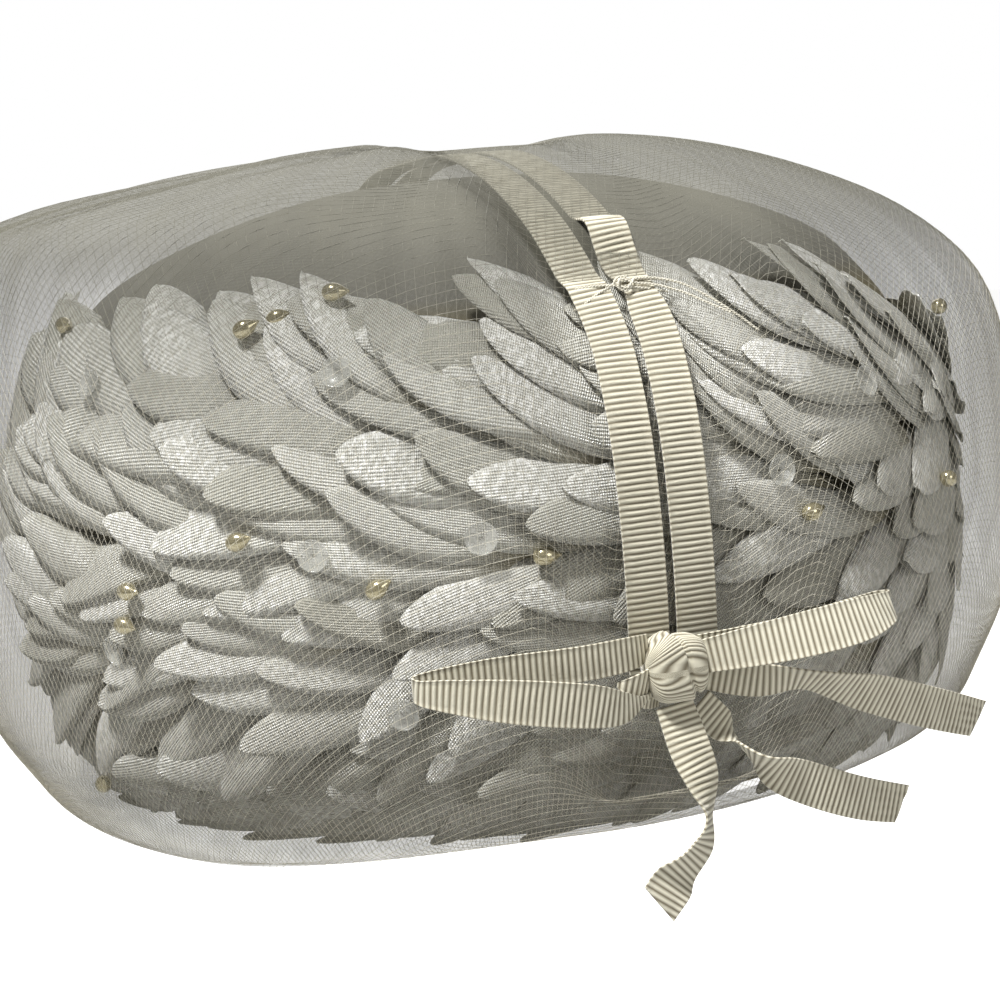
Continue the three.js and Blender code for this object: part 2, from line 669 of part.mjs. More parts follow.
// The knot: a ribbon wound tight round the bow's middle, on the two bands.
const KNOT_SIDES = 12;
const KNOT_BANDS = 8;
const KNOT_SQUARENESS = 0.8;
function makeKnot(bands) {
  const geometry = closedRound(new THREE.SphereGeometry(1, KNOT_SIDES, KNOT_BANDS));
  const corners = geometry.getAttribute('position');
  const square = (value) => Math.sign(value) * Math.abs(value) ** KNOT_SQUARENESS;
  for (let i = 0; i < corners.count; i++) {
    corners.setXYZ(
      i,
      (square(corners.getX(i)) * KNOT_WIDTH) / 2,
      (corners.getY(i) * KNOT_DEPTH) / 2,
      (square(corners.getZ(i)) * KNOT_HEIGHT) / 2,
    );
  }
  geometry.computeVertexNormals();
  const knot = meshOf('bow_knot', geometry, like(grosgrain));
  const caster = new THREE.Raycaster();
  const ahead = veilRadius + KNOT_DEPTH;
  let seat = 0;
  for (const height of [0, 0.2, 0.4]) {
    const from = new THREE.Vector3(bandOffset, -ahead, KNOT_CENTRE_HEIGHT + height * KNOT_HEIGHT);
    caster.set(from, new THREE.Vector3(0, 1, 0));
    for (const hit of caster.intersectObjects(bands)) seat = Math.max(seat, ahead - hit.distance);
  }
  knot.position.set(KNOT_ASIDE, -(seat + CLEARANCE + KNOT_DEPTH / 2), KNOT_CENTRE_HEIGHT);
  return knot;
}

const hat = new THREE.Group();
const sprays = Array.from({ length: SPRAY_COUNT }, (_, number) => makeSpray(number));
for (const spray of sprays) spray.updateMatrixWorld();
hat.add(makeFoundation(), ...sprays);
PEARLS.forEach((_, number) => hat.add(makePearl(number, sprays)));
SEQUINS.forEach((_, number) => hat.add(makeSequin(number, sprays)));
const veil = makeVeil();
hat.add(veil);
const bandOffset = (RIBBON_WIDTH + RIBBON_GAP) / 2;
const bands = [makeBand('band_left', -bandOffset, veil), makeBand('band_right', bandOffset, veil)];
hat.add(...bands, makeKnot(bands));
for (const piece of BOW_PIECES) hat.add(makeBowPiece(piece));

export default hat;
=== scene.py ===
# Ivory pillbox hat: organza leaves, pearls and sequins on a stiff drum, under a net veil with a bow.
import math

import bpy
import numpy as np
from mathutils import Matrix, Vector
from mathutils.bvhtree import BVHTree


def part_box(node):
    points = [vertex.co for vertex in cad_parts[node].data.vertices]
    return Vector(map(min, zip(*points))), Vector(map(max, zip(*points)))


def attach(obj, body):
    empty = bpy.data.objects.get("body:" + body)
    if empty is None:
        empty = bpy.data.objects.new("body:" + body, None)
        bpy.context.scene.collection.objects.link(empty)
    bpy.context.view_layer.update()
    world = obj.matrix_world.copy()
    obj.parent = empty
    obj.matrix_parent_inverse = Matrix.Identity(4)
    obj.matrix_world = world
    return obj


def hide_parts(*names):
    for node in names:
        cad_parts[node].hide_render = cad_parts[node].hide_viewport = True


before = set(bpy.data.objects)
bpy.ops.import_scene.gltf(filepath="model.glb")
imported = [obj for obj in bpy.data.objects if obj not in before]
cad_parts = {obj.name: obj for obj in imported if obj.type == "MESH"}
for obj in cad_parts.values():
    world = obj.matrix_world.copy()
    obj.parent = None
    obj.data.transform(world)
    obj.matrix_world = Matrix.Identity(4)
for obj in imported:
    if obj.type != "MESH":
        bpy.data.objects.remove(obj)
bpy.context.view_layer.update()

# Camera, floor and light
# The camera looks almost level at the hat, from in front of the bow's left, and is rolled a little, so that
# the hat seems tipped. The floor is plain and pale, far enough down to stay out of the way.
scene = bpy.context.scene
VIEW_TURN = math.radians(-16.4)
VIEW_DISTANCE = 0.4256
VIEW_HEIGHT = 0.1057
VIEW_PITCH = math.radians(7.6)
VIEW_ROLL = math.radians(5.2)
PICTURE_WIDTH = 1000
FOCAL_PIXELS = 1848
AXIS_PIXEL = 484

level_right = Vector((math.cos(VIEW_TURN), math.sin(VIEW_TURN), 0))
level_ahead = Vector((-math.sin(VIEW_TURN), math.cos(VIEW_TURN), 0))
ahead = level_ahead * math.cos(VIEW_PITCH) - Vector((0, 0, math.sin(VIEW_PITCH)))
level_up = level_right.cross(ahead)
picture_right = level_right * math.cos(VIEW_ROLL) - level_up * math.sin(VIEW_ROLL)
picture_up = level_right * math.sin(VIEW_ROLL) + level_up * math.cos(VIEW_ROLL)
lens = bpy.data.cameras.new("camera")
lens.sensor_width = 36
lens.lens = lens.sensor_width * FOCAL_PIXELS / PICTURE_WIDTH
lens.shift_x = (PICTURE_WIDTH / 2 - AXIS_PIXEL) / PICTURE_WIDTH
lens.clip_start = 0.01
camera = bpy.data.objects.new("camera", lens)
place = -level_ahead * VIEW_DISTANCE + Vector((0, 0, VIEW_HEIGHT))
aim = Matrix((picture_right, picture_up, -ahead)).transposed()
camera.matrix_world = Matrix.Translation(place) @ aim.to_4x4()
scene.collection.objects.link(camera)
scene.camera = camera

FLOOR_HEIGHT = -0.22
FLOOR_REACH = 6.0
FLOOR_GLOW = 0.85
floor_mesh = bpy.data.meshes.new("floor")
floor_corners = [
    (x * FLOOR_REACH, y * FLOOR_REACH, FLOOR_HEIGHT) for x, y in ((-1, -1), (1, -1), (1, 1), (-1, 1))
]
floor_mesh.from_pydata(floor_corners, [], [(0, 1, 2, 3)])
floor = bpy.data.objects.new("floor", floor_mesh)
scene.collection.objects.link(floor)
floor_paint = bpy.data.materials.new("pale_floor")
floor_paint.use_nodes = True
tree = floor_paint.node_tree
paint = tree.nodes["Principled BSDF"]
paint.inputs["Base Color"].default_value = (0.55, 0.55, 0.54, 1)
paint.inputs["Roughness"].default_value = 0.9
paint.inputs["Emission Color"].default_value = (1, 1, 1, 1)
seen = tree.nodes.new("ShaderNodeLightPath").outputs["Is Camera Ray"]
glow = tree.nodes.new("ShaderNodeMath")
glow.operation = "MULTIPLY"
glow.inputs[1].default_value = FLOOR_GLOW
tree.links.new(seen, glow.inputs[0])
tree.links.new(glow.outputs[0], paint.inputs["Emission Strength"])
floor_mesh.materials.append(floor_paint)

world = bpy.data.worlds.new("studio")
world.use_nodes = True
tree = world.node_tree
backdrop = tree.nodes["Background"]
backdrop.inputs["Color"].default_value = (1, 1, 1, 1)
room_light = tree.nodes.new("ShaderNodeBackground")
room_light.inputs["Color"].default_value = (1, 0.965, 0.89, 1)
room_light.inputs["Strength"].default_value = 0.19
seen_or_lit = tree.nodes.new("ShaderNodeMixShader")
seen = tree.nodes.new("ShaderNodeLightPath").outputs["Is Camera Ray"]
for number, source in enumerate((seen, room_light.outputs[0], backdrop.outputs[0])):
    tree.links.new(source, seen_or_lit.inputs[number])
tree.links.new(seen_or_lit.outputs[0], tree.nodes["World Output"].inputs["Surface"])
scene.world = world
scene.view_settings.view_transform = "Standard"

LIGHT_AIM_HEIGHT = 0.06


def soft_light(name, turn, height, distance, size, power):
    """A round soft light: its turn from the front in degrees, then metres, then watts."""
    lamp = bpy.data.lights.new(name, "AREA")
    lamp.shape = "DISK"
    lamp.size = size
    lamp.energy = power
    source = bpy.data.objects.new(name, lamp)
    angle = math.radians(turn)
    source.location = (distance * math.sin(angle), -distance * math.cos(angle), height)
    aim = Vector((0, 0, LIGHT_AIM_HEIGHT)) - source.location
    source.rotation_euler = aim.to_track_quat("-Z", "Y").to_euler()
    scene.collection.objects.link(source)


soft_light("key", -58, 1.45, 0.62, 0.26, 50)
soft_light("fill", 25, 0.45, 1.4, 0.7, 4.5)
soft_light("back", 160, 0.8, 1.3, 0.9, 6)

# Foundation
# A drum of stiffened cloth, 1.6 mm thick, blocked to a soft barrel with a domed crown. Its raw olive-brown
# side shows only between the leaves. The crown is covered with plain ivory organza, pulled smooth.
MM = 0.001
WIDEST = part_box("foundation")[1][0] / MM
BARREL_BULGE = 11.4
RIM_RADIUS = WIDEST - BARREL_BULGE
WALL_HEIGHT = 96
CROWN_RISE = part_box("foundation")[1][2] / MM - WALL_HEIGHT
CROWN_OVER_RIM = 3
CROWN_EDGE = RIM_RADIUS + CROWN_OVER_RIM
FOUNDATION_WALL = 1.6
WALL_PROFILE = ((0.0, 0.0), (0.55, 0.16), (0.9, 0.36), (1.0, 0.56), (0.82, 0.76))
CROWN_PROFILE = ((1.0, -0.3), (0.95, -0.05), (0.86, 0.28), (0.66, 0.62), (0.34, 0.92))


def arc_along(line):
    return np.concatenate([[0], np.cumsum(np.linalg.norm(np.diff(line, axis=0), axis=1))])


class Profile:
    """A smooth line through a few points of radius and height, read by its share of arc length."""

    def __init__(self, points, samples=40):
        points = [np.array(point, float) for point in points]
        points = [2 * points[0] - points[1], *points, 2 * points[-1] - points[-2]]
        line = []
        for a, b, c, d in zip(points, points[1:], points[2:], points[3:]):
            before, here, after = (np.linalg.norm(q - p) ** 0.5 for p, q in ((a, b), (b, c), (c, d)))
            leave = ((b - a) / before - (c - a) / (before + here) + (c - b) / here) * here
            arrive = ((c - b) / here - (d - b) / (here + after) + (d - c) / after) * here
            t = np.linspace(0, 1, samples, endpoint=False)[:, None]
            line.append(
                b + leave * t + (3 * (c - b) - 2 * leave - arrive) * t**2
                + (leave + arrive - 2 * (c - b)) * t**3
            )
        line.append(points[-2][None])
        self.line = np.concatenate(line)
        self.arc = arc_along(self.line)
        self.length = self.arc[-1]

    def at(self, share):
        arc = np.clip(share, 0, 1) * self.length
        return np.interp(arc, self.arc, self.line[:, 0]), np.interp(arc, self.arc, self.line[:, 1])

    def normal(self, share):
        step = 0.004
        share = np.clip(share, step, 1 - step)
        low, high = share - step, share + step
        (r0, z0), (r1, z1) = self.at(low), self.at(high)
        size = np.hypot(r1 - r0, z1 - z0)
        return (z1 - z0) / size, -(r1 - r0) / size


def foundation_profile(inset):
    wall = [(RIM_RADIUS + (WIDEST - RIM_RADIUS) * out - inset, up * WALL_HEIGHT) for out, up in WALL_PROFILE]
    crown = [
        (reach * CROWN_EDGE - inset, WALL_HEIGHT + rise * CROWN_RISE - inset * (1 - reach))
        for reach, rise in CROWN_PROFILE
    ]
    return Profile([*wall, *crown, (0, WALL_HEIGHT + CROWN_RISE - inset)])


foundation_line = foundation_profile(0)
wall_arc = foundation_line.length - CROWN_EDGE


def round_axis(turn, radius, height):
    """Points at turns in radians from the front, with their radii and heights."""
    points = np.broadcast_arrays(radius * np.sin(turn), -radius * np.cos(turn), height)
    return np.stack(points, -1)


def on_foundation(turn, arc, lift):
    """Points lifted off the foundation's outer face, at turns in radians and arcs in mm from the rim."""
    share = arc / foundation_line.length
    radius, height = foundation_line.at(share)
    height = height + np.minimum(arc, 0)
    out, up = foundation_line.normal(share)
    return round_axis(turn, radius + out * lift, height + up * lift)


def mesh_piece(name, points, faces):
    """A new smooth-shaded object from points in mm and faces as rows of corner numbers."""
    mesh = bpy.data.meshes.new(name)
    mesh.from_pydata((np.asarray(points).reshape(-1, 3) * MM).tolist(), [], [tuple(f) for f in faces])
    mesh.validate()
    mesh.shade_smooth()
    piece = bpy.data.objects.new(name, mesh)
    scene.collection.objects.link(piece)
    return piece


def grid_faces(rows, columns, wrap=False, start=0):
    """Quads over a grid of points numbered row by row."""
    i, j = np.meshgrid(np.arange(rows - 1), np.arange(columns if wrap else columns - 1), indexing="ij")
    after = (j + 1) % columns
    low, high = i * columns, (i + 1) * columns
    quads = np.stack([low + j, low + after, high + after, high + j], -1)
    return (quads.reshape(-1, 4) + start).tolist()


def closed_tube(rows, columns):
    """Faces of a tube of rings with a cap on each end."""
    faces = grid_faces(rows, columns, wrap=True)
    faces.append(list(range(columns))[::-1])
    faces.append(list(range((rows - 1) * columns, rows * columns)))
    return faces


def new_material(name, roughness, **sockets):
    material = bpy.data.materials.new(name)
    material.use_nodes = True
    shader = material.node_tree.nodes["Principled BSDF"]
    shader.inputs["Roughness"].default_value = roughness
    for socket, value in sockets.items():
        shader.inputs[socket.replace("_", " ")].default_value = value
    return material, material.node_tree, shader


def full_turn(sides):
    return np.linspace(0, 2 * math.pi, sides, endpoint=False)


FOUNDATION_STEPS = 70
FOUNDATION_SIDES = 144
outer_r, outer_z = foundation_line.at(np.linspace(0, 0.998, FOUNDATION_STEPS))
inner_r, inner_z = foundation_profile(FOUNDATION_WALL).at(np.linspace(0.998, 0, FOUNDATION_STEPS))
RIM_ROUNDING = np.array([(-0.6, -0.1), (0, -0.25), (0.6, -0.1)])
rim_r = RIM_RADIUS - FOUNDATION_WALL / 2 + RIM_ROUNDING[:, 0]
ring_r = np.concatenate([inner_r, rim_r, outer_r])[:, None]
ring_z = np.concatenate([inner_z, RIM_ROUNDING[:, 1], outer_z])[:, None]
rings = round_axis(full_turn(FOUNDATION_SIDES), ring_r, ring_z)
drum = mesh_piece("drum", rings, closed_tube(len(ring_r), FOUNDATION_SIDES))


def group_sockets(group, inputs, outputs):
    for name, kind, value in inputs:
        socket = group.interface.new_socket(name, in_out="INPUT", socket_type=kind)
        if value is not None:
            socket.default_value = value
    for name, kind in outputs:
        group.interface.new_socket(name, in_out="OUTPUT", socket_type=kind)
    return group.nodes.new("NodeGroupInput"), group.nodes.new("NodeGroupOutput")


def feed(tree, socket, value):
    """Gives a socket a value, or a link from another socket."""
    if isinstance(value, (int, float, tuple)):
        socket.default_value = value
    else:
        tree.links.new(value, socket)


def math_node(tree, operation, *values):
    node = tree.nodes.new("ShaderNodeMath")
    node.operation = operation
    for number, value in enumerate(values):
        feed(tree, node.inputs[number], value)
    return node.outputs[0]


def mix_colours(tree, share, low, high):
    node = tree.nodes.new("ShaderNodeMix")
    node.data_type = "RGBA"
    for title, value in (("Factor", share), ("A", low), ("B", high)):
        feed(tree, node.inputs[title], value)
    return node.outputs["Result"]


def place_in(tree):
    return tree.nodes.new("ShaderNodeTexCoord").outputs["Object"]


def height_in(tree):
    split = tree.nodes.new("ShaderNodeSeparateXYZ")
    tree.links.new(place_in(tree), split.inputs[0])
    return split.outputs[2]


def remap(tree, value, low, high, to_high=1.0, way="SMOOTHSTEP"):
    node = tree.nodes.new("ShaderNodeMapRange")
    node.interpolation_type = way
    for title, number in (("From Min", low), ("From Max", high), ("To Max", to_high)):
        node.inputs[title].default_value = number
    tree.links.new(value, node.inputs["Value"])
    return node.outputs[0]


def noise(tree, vector, scale, detail=3.0):
    node = tree.nodes.new("ShaderNodeTexNoise")
    for title, value in (("Vector", vector), ("Scale", scale), ("Detail", detail)):
        feed(tree, node.inputs[title], value)
    return node.outputs["Fac"]


# Plain weave: the height of crossing threads of a given spacing.
weave = bpy.data.node_groups.new("plain_weave", "ShaderNodeTree")
weave_in, weave_out = group_sockets(
    weave,
    [("Place", "NodeSocketVector", None), ("Threads per metre", "NodeSocketFloat", 2000.0)],
    [("Height", "NodeSocketFloat")],
)
split = weave.nodes.new("ShaderNodeSeparateXYZ")
weave.links.new(weave_in.outputs["Place"], split.inputs[0])
wave = []
for axis in (0, 1):
    phase = math_node(weave, "MULTIPLY", split.outputs[axis], weave_in.outputs["Threads per metre"])
    wave.append(math_node(weave, "SINE", math_node(weave, "MULTIPLY", phase, math.pi)))
crossings = math_node(weave, "MULTIPLY", wave[0], wave[1])
weave.links.new(math_node(weave, "MULTIPLY_ADD", crossings, 0.5, 0.5), weave_out.inputs["Height"])


def weave_height(tree, vector, threads):
    node = tree.nodes.new("ShaderNodeGroup")
    node.node_tree = weave
    node.inputs["Threads per metre"].default_value = threads
    tree.links.new(vector, node.inputs["Place"])
    return node.outputs["Height"]


def bump(tree, shader, height, strength, distance):
    node = tree.nodes.new("ShaderNodeBump")
    node.inputs["Strength"].default_value = strength
    node.inputs["Distance"].default_value = distance
    tree.links.new(height, node.inputs["Height"])
    tree.links.new(node.outputs[0], shader.inputs["Normal"])


# Mottling: soft patches of two colours, as a colour and as a value.
mottling = bpy.data.node_groups.new("mottling", "ShaderNodeTree")
mottling_in, mottling_out = group_sockets(
    mottling,
    [("Scale", "NodeSocketFloat", 500.0), ("Low", "NodeSocketColor", None),
     ("High", "NodeSocketColor", None)],
    [("Colour", "NodeSocketColor"), ("Patches", "NodeSocketFloat")],
)
patches = noise(mottling, place_in(mottling), mottling_in.outputs["Scale"])
patch_colour = mix_colours(mottling, patches, mottling_in.outputs["Low"], mottling_in.outputs["High"])
mottling.links.new(patch_colour, mottling_out.inputs["Colour"])
mottling.links.new(patches, mottling_out.inputs["Patches"])


def mottled(tree, scale, low, high):
    node = tree.nodes.new("ShaderNodeGroup")
    node.node_tree = mottling
    for title, value in (("Scale", scale), ("Low", low), ("High", high)):
        feed(tree, node.inputs[title], value)
    return node.outputs["Colour"], node.outputs["Patches"]


drum_cloth, tree, shader = new_material("stiffened_cloth", 0.9)
above = remap(tree, height_in(tree), (WALL_HEIGHT - 4) * MM, (WALL_HEIGHT + 2) * MM, way="LINEAR")
side_colour, _ = mottled(tree, 160.0, (0.1, 0.085, 0.04, 1), (0.2, 0.17, 0.09, 1))
crown_colour, _ = mottled(tree, 160.0, (0.125, 0.121, 0.102, 1), (0.17, 0.166, 0.147, 1))
tree.links.new(mix_colours(tree, above, side_colour, crown_colour), shader.inputs["Base Color"])
bump(tree, shader, weave_height(tree, place_in(tree), 1400.0), 0.5, 0.0003)
drum.data.materials.append(drum_cloth)
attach(drum, "root")
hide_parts("foundation")

# Leaves
# Hundreds of narrow leaves cut from silvery ivory organza, pressed to a shallow cup and sewn on by their
# roots in rows. They lie clockwise round the drum, fanned up at the crown and down at the rim.
SPRAYS = 14
COLUMNS_PER_SPRAY = 3
LEAF_LENGTH = 48
LEAF_WIDTH = 9.6
BIG_LEAF_WIDTH = 15.0
LEAF_CLOTH = 0.16
LEAF_STEPS = (0, 0.1, 0.22, 0.35, 0.48, 0.6, 0.71, 0.81, 0.89, 0.95, 0.985, 1.0)
LEAF_COLUMNS = 7
ROOT_LIFT = 0.6
TIP_STAND_OFF = 4.4
FOLD_LINE = 0.5
FOLD_LINE_WIDTH = 0.14
# Rows from the rim up: where the roots are, as a share of the wall's arc, and the way that the tips point.
ROOT_LOW, ROOT_HIGH = 0.1, 0.85
TIP_ANGLES = (-52, -50, -47, -42, -36, -30, -24, -18, -12, -6, 0, 7, 14, 20, 24, 26, 24)
LEAF_ROWS = len(TIP_ANGLES)
TIP_SPREAD = 8
# At the right side the tips point further down.
SIDE_DROOP = 34
LEAF_TOP = 1.02
OVER_TOP_BEND = 0.55
UNDER_RIM_BEND = 0.2
RIM_LIFT = 0.42
LEAST_LIFT = 0.35
RIBBON_BED = 24
FLATTENED_LEAF = 6.2
chance = np.random.default_rng(7)


def smooth_step(value, low, high):
    share = np.clip((value - low) / (high - low), 0, 1)
    return share * share * (3 - 2 * share)


def leaf_outline(along):
    """Half the leaf's width at a share of its length: narrow root, full middle, rounded tip."""
    rising = 0.16 + 0.84 * np.sin(np.clip(along / 0.6, 0, 1) * math.pi / 2)
    rounding = np.clip((along - 0.6) / 0.4, 0, 1)
    return rising * np.clip(1 - rounding**1.9, 0.004, 1) ** 0.62


along, across = np.meshgrid(LEAF_STEPS, np.linspace(-1, 1, LEAF_COLUMNS), indexing="ij")


def leaf_points(turn, arc, angle, length, width, lift, cup, tilt, curl, bend):
    """One leaf on the drum, from its root's place, its tip's way, its sizes and its bends."""
    half = leaf_outline(along) * width / 2
    run = along * length
    side = across * half
    angle = angle + bend * along
    girth = -(run * np.cos(angle)) + side * np.sin(angle)
    rise = run * np.sin(angle) + side * np.cos(angle)
    height = lift + ROOT_LIFT + TIP_STAND_OFF * along + curl * along**4
    height = height + cup * (1 - across**2) * np.sin(math.pi * np.clip(along, 0, 1) ** 0.8)
    height = height - tilt * across * np.sin(math.pi * np.clip(along * 0.8 + 0.1, 0, 1))
    height = height - FOLD_LINE * np.exp(-((across / FOLD_LINE_WIDTH) ** 2)) * (1 - along)
    place_arc = arc + rise
    over = np.maximum(place_arc - LEAF_TOP * wall_arc, 0)
    place_arc = place_arc - OVER_TOP_BEND * over
    place_arc = np.where(place_arc < 0, UNDER_RIM_BEND * place_arc, place_arc)
    radius, _ = foundation_line.at(np.full_like(along, arc / foundation_line.length))
    places = turn + girth / (radius + height)
    bed = 1 - smooth_step(np.abs(radius * np.sin(places)), RIBBON_BED * 0.5, RIBBON_BED * 1.3)
    height = height - bed * 0.8 * np.maximum(height - FLATTENED_LEAF, 0)
    height = height * (RIM_LIFT + (1 - RIM_LIFT) * smooth_step(place_arc, -1, 14))
    return on_foundation(places, place_arc, np.maximum(height, LEAST_LIFT))


def set_values(mesh, title, values):
    mesh.attributes.new(title, "FLOAT", "POINT").data.foreach_set("value", values)


leaf_pieces = []
organza_leaf, tree, shader = new_material(
    "leaf_organza", 0.4, Sheen_Weight=0.25, Sheen_Roughness=0.3, IOR=1.6)
leaf_corners = along.size
flat_leaf = np.stack([across * leaf_outline(along) * LEAF_WIDTH / 2, along * LEAF_LENGTH], -1)
flat_leaf = flat_leaf.reshape(-1, 2) * MM
for spray in range(SPRAYS):
    points, faces, maps, tones, runs = [], [], [], [], []
    for column in range(COLUMNS_PER_SPRAY):
        stagger = (spray * COLUMNS_PER_SPRAY + column) % 2
        for row in range(LEAF_ROWS):
            share = (row + 0.5 * stagger) / LEAF_ROWS
            aside = (column + chance.uniform(-0.25, 0.25)) / COLUMNS_PER_SPRAY
            turn = (spray + aside) * 2 * math.pi / SPRAYS
            side_turn = (math.degrees(turn) + 180) % 360 - 180
            arc = wall_arc * (ROOT_LOW + (ROOT_HIGH - ROOT_LOW) * share + chance.uniform(-0.012, 0.012))
            tip = np.interp(share * LEAF_ROWS, range(LEAF_ROWS), TIP_ANGLES)
            tip += chance.uniform(-TIP_SPREAD, TIP_SPREAD)
            tip -= SIDE_DROOP * smooth_step(side_turn, 42, 75) * (1 - smooth_step(side_turn, 110, 150))
            length = LEAF_LENGTH * chance.uniform(0.86, 1.12)
            room_below = max(0.2, arc - chance.uniform(0.5, 4))
            room_above = LEAF_TOP * wall_arc + chance.uniform(-2, 4) - arc
            lowest = -math.degrees(math.asin(min(1, room_below / length)))
            highest = math.degrees(math.asin(min(1, room_above / length)))
            tip = max(lowest, min(highest, tip))
            size = smooth_step(share, 0.5, 0.85) * (0.55 + 0.45 * smooth_step(-side_turn, 10, 45))
            leaf = leaf_points(
                turn, arc, math.radians(tip), length,
                (LEAF_WIDTH + (BIG_LEAF_WIDTH - LEAF_WIDTH) * size) * chance.uniform(0.88, 1.12),
                chance.uniform(0, 0.9), chance.uniform(0.8, 1.7), chance.uniform(0.8, 1.8),
                chance.uniform(-0.5, 3.2) * chance.uniform(0.3, 1), chance.uniform(-0.3, 0.3),
            )
            start = len(points) * leaf_corners
            points.append(leaf.reshape(-1, 3))
            faces += grid_faces(*along.shape, start=start)
            maps.append(flat_leaf + chance.uniform(0, 1))
            tones.append(np.full(leaf_corners, chance.uniform(0, 1)))
            runs.append(along.ravel())
    piece = mesh_piece(f"leaves_{spray + 1:02d}", np.concatenate(points), faces)
    mesh = piece.data
    corner_points = np.empty(len(mesh.loops), int)
    mesh.loops.foreach_get("vertex_index", corner_points)
    cloth_map = mesh.uv_layers.new(name="cloth")
    cloth_map.data.foreach_set("uv", np.concatenate(maps)[corner_points].ravel())
    set_values(mesh, "tone", np.concatenate(tones))
    set_values(mesh, "run", np.concatenate(runs))
    thick = piece.modifiers.new("cloth", "SOLIDIFY")
    thick.thickness = LEAF_CLOTH * MM
    thick.offset = 0
    mesh.materials.append(organza_leaf)
    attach(piece, "root")
    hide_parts(f"leaf_spray_{spray + 1:02d}")
    leaf_pieces.append(piece)


def mesh_value(tree, title):
    node = tree.nodes.new("ShaderNodeAttribute")
    node.attribute_name = title
    return node.outputs["Fac"]


cloth = tree.nodes.new("ShaderNodeUVMap")
cloth.uv_map = "cloth"
turn_weave = tree.nodes.new("ShaderNodeMapping")
turn_weave.inputs["Rotation"].default_value = (0, 0, math.radians(38))
tree.links.new(cloth.outputs[0], turn_weave.inputs["Vector"])
organza_threads = weave_height(tree, turn_weave.outputs[0], 3200.0)
slub = noise(tree, turn_weave.outputs[0], 420.0)
crumple = noise(tree, turn_weave.outputs[0], 850.0)
tone, run = mesh_value(tree, "tone"), mesh_value(tree, "run")
pressed_and_glinting = math_node(tree, "MULTIPLY", remap(tree, run, 0.45, 0.8), remap(tree, tone, 0.62, 0.72))
leaf_base = mix_colours(tree, tone, (0.64, 0.635, 0.575, 1), (0.97, 0.965, 0.91, 1))
# The threads' tops are lighter than the gaps between them, partly as the weave's pattern and partly as
# painted highlight.
thread_light = math_node(tree, "MULTIPLY_ADD", organza_threads, 0.8, 0.08)
thread_light = math_node(tree, "MULTIPLY_ADD", slub, 0.4, thread_light)
thread_colour = mix_colours(tree, thread_light, (0.19, 0.175, 0.12, 1), leaf_base)
# A few leaves are cut from smooth satin, and the tips of others are pressed and carry fine dots of painted
# highlight.
satin = math_node(tree, "SUBTRACT", remap(tree, tone, 0.27, 0.28), remap(tree, tone, 0.35, 0.36))
thread_colour = mix_colours(tree, satin, thread_colour, (0.47, 0.46, 0.4, 1))
glint_dots = math_node(tree, "MULTIPLY", pressed_and_glinting, remap(tree, crumple, 0.46, 0.62))
thread_colour = mix_colours(tree, glint_dots, thread_colour, (0.97, 0.965, 0.92, 1))
# Painted shade: the lower leaves are darker and a little yellower than the ones near the crown.
high_up = remap(tree, height_in(tree), 0.005, 0.105)
low_shade_colour = mix_colours(tree, 0.64, (0.05, 0.038, 0.004, 1), thread_colour)
height_shaded_colour = mix_colours(tree, high_up, low_shade_colour, thread_colour)
# Painted shade: each leaf darkens to olive towards its root, under the leaves that overlap it.
root_shade = remap(tree, run, 0.05, 0.5)
tree.links.new(mix_colours(tree, root_shade, (0.19, 0.165, 0.09, 1), height_shaded_colour), shader.inputs["Base Color"])
tree.links.new(math_node(tree, "MULTIPLY_ADD", slub, 0.3, 0.12), shader.inputs["Roughness"])
press_marks = math_node(tree, "MULTIPLY", crumple, pressed_and_glinting)
relief = math_node(tree, "MULTIPLY_ADD", press_marks, 1.6, organza_threads)
bump(tree, shader, relief, 0.75, 0.0004)

# Pearls and sequins
# Small champagne teardrop pearls and clear cupped sequins, each sewn to a leaf through its middle.
leaf_points_all, leaf_faces_all = [], []
for piece in leaf_pieces:
    count = len(leaf_points_all)
    leaf_points_all += [vertex.co.copy() for vertex in piece.data.vertices]
    leaf_faces_all += [[corner + count for corner in face.vertices] for face in piece.data.polygons]
leaf_tree = BVHTree.FromPolygons(leaf_points_all, leaf_faces_all)


def cad_form(node):
    """A part's middle, its points from their mean, and its own three ways, the longest first."""
    piece = bpy.data.objects[node]
    cloud = np.array([list(piece.matrix_world @ vertex.co) for vertex in piece.data.vertices])
    spread = cloud - cloud.mean(0)
    return (cloud.min(0) + cloud.max(0)) / 2, spread, np.linalg.svd(spread)[2]


PROBE_START = 0.02
SEAT_PROBES = ((0, 0), (1, 0), (1, 1.57), (1, 3.14), (1, 4.71))


def seat(middle, footprint, half_height, most=0.0035):
    """Moves a place in or out along the wall, until what sits there just touches the leaves."""
    radius = math.hypot(middle[0], middle[1])
    out = Vector((middle[0] / radius, middle[1] / radius, 0.0))
    flat = Vector((-out.y, out.x, 0.0))
    heights = []
    for reach, angle in SEAT_PROBES:
        start = Vector(middle) + out * PROBE_START
        start += (flat * math.cos(angle) + Vector((0, 0, 1)) * math.sin(angle)) * footprint * reach
        hit = leaf_tree.ray_cast(start, -out, 2 * PROBE_START)
        if hit[0] is not None:
            heights.append(PROBE_START - hit[3])
    if not heights:
        return Vector(middle)
    shift = max(-most, min(most, max(heights) + half_height))
    return Vector(middle) + out * shift


def revolved(middle, axis, outline, around, wave=1.0):
    """Rings of points, in mm, of an outline turned round an axis: its rows are along it, then out."""
    side = axis.orthogonal().normalized()
    third = axis.cross(side)
    line = np.array(outline)
    spokes = np.cos(around)[:, None] * np.array(side) + np.sin(around)[:, None] * np.array(third)
    out = line[:, 1, None] * np.broadcast_to(wave, around.shape)
    return np.array(middle) / MM + line[:, 0, None, None] * np.array(axis) + out[..., None] * spokes


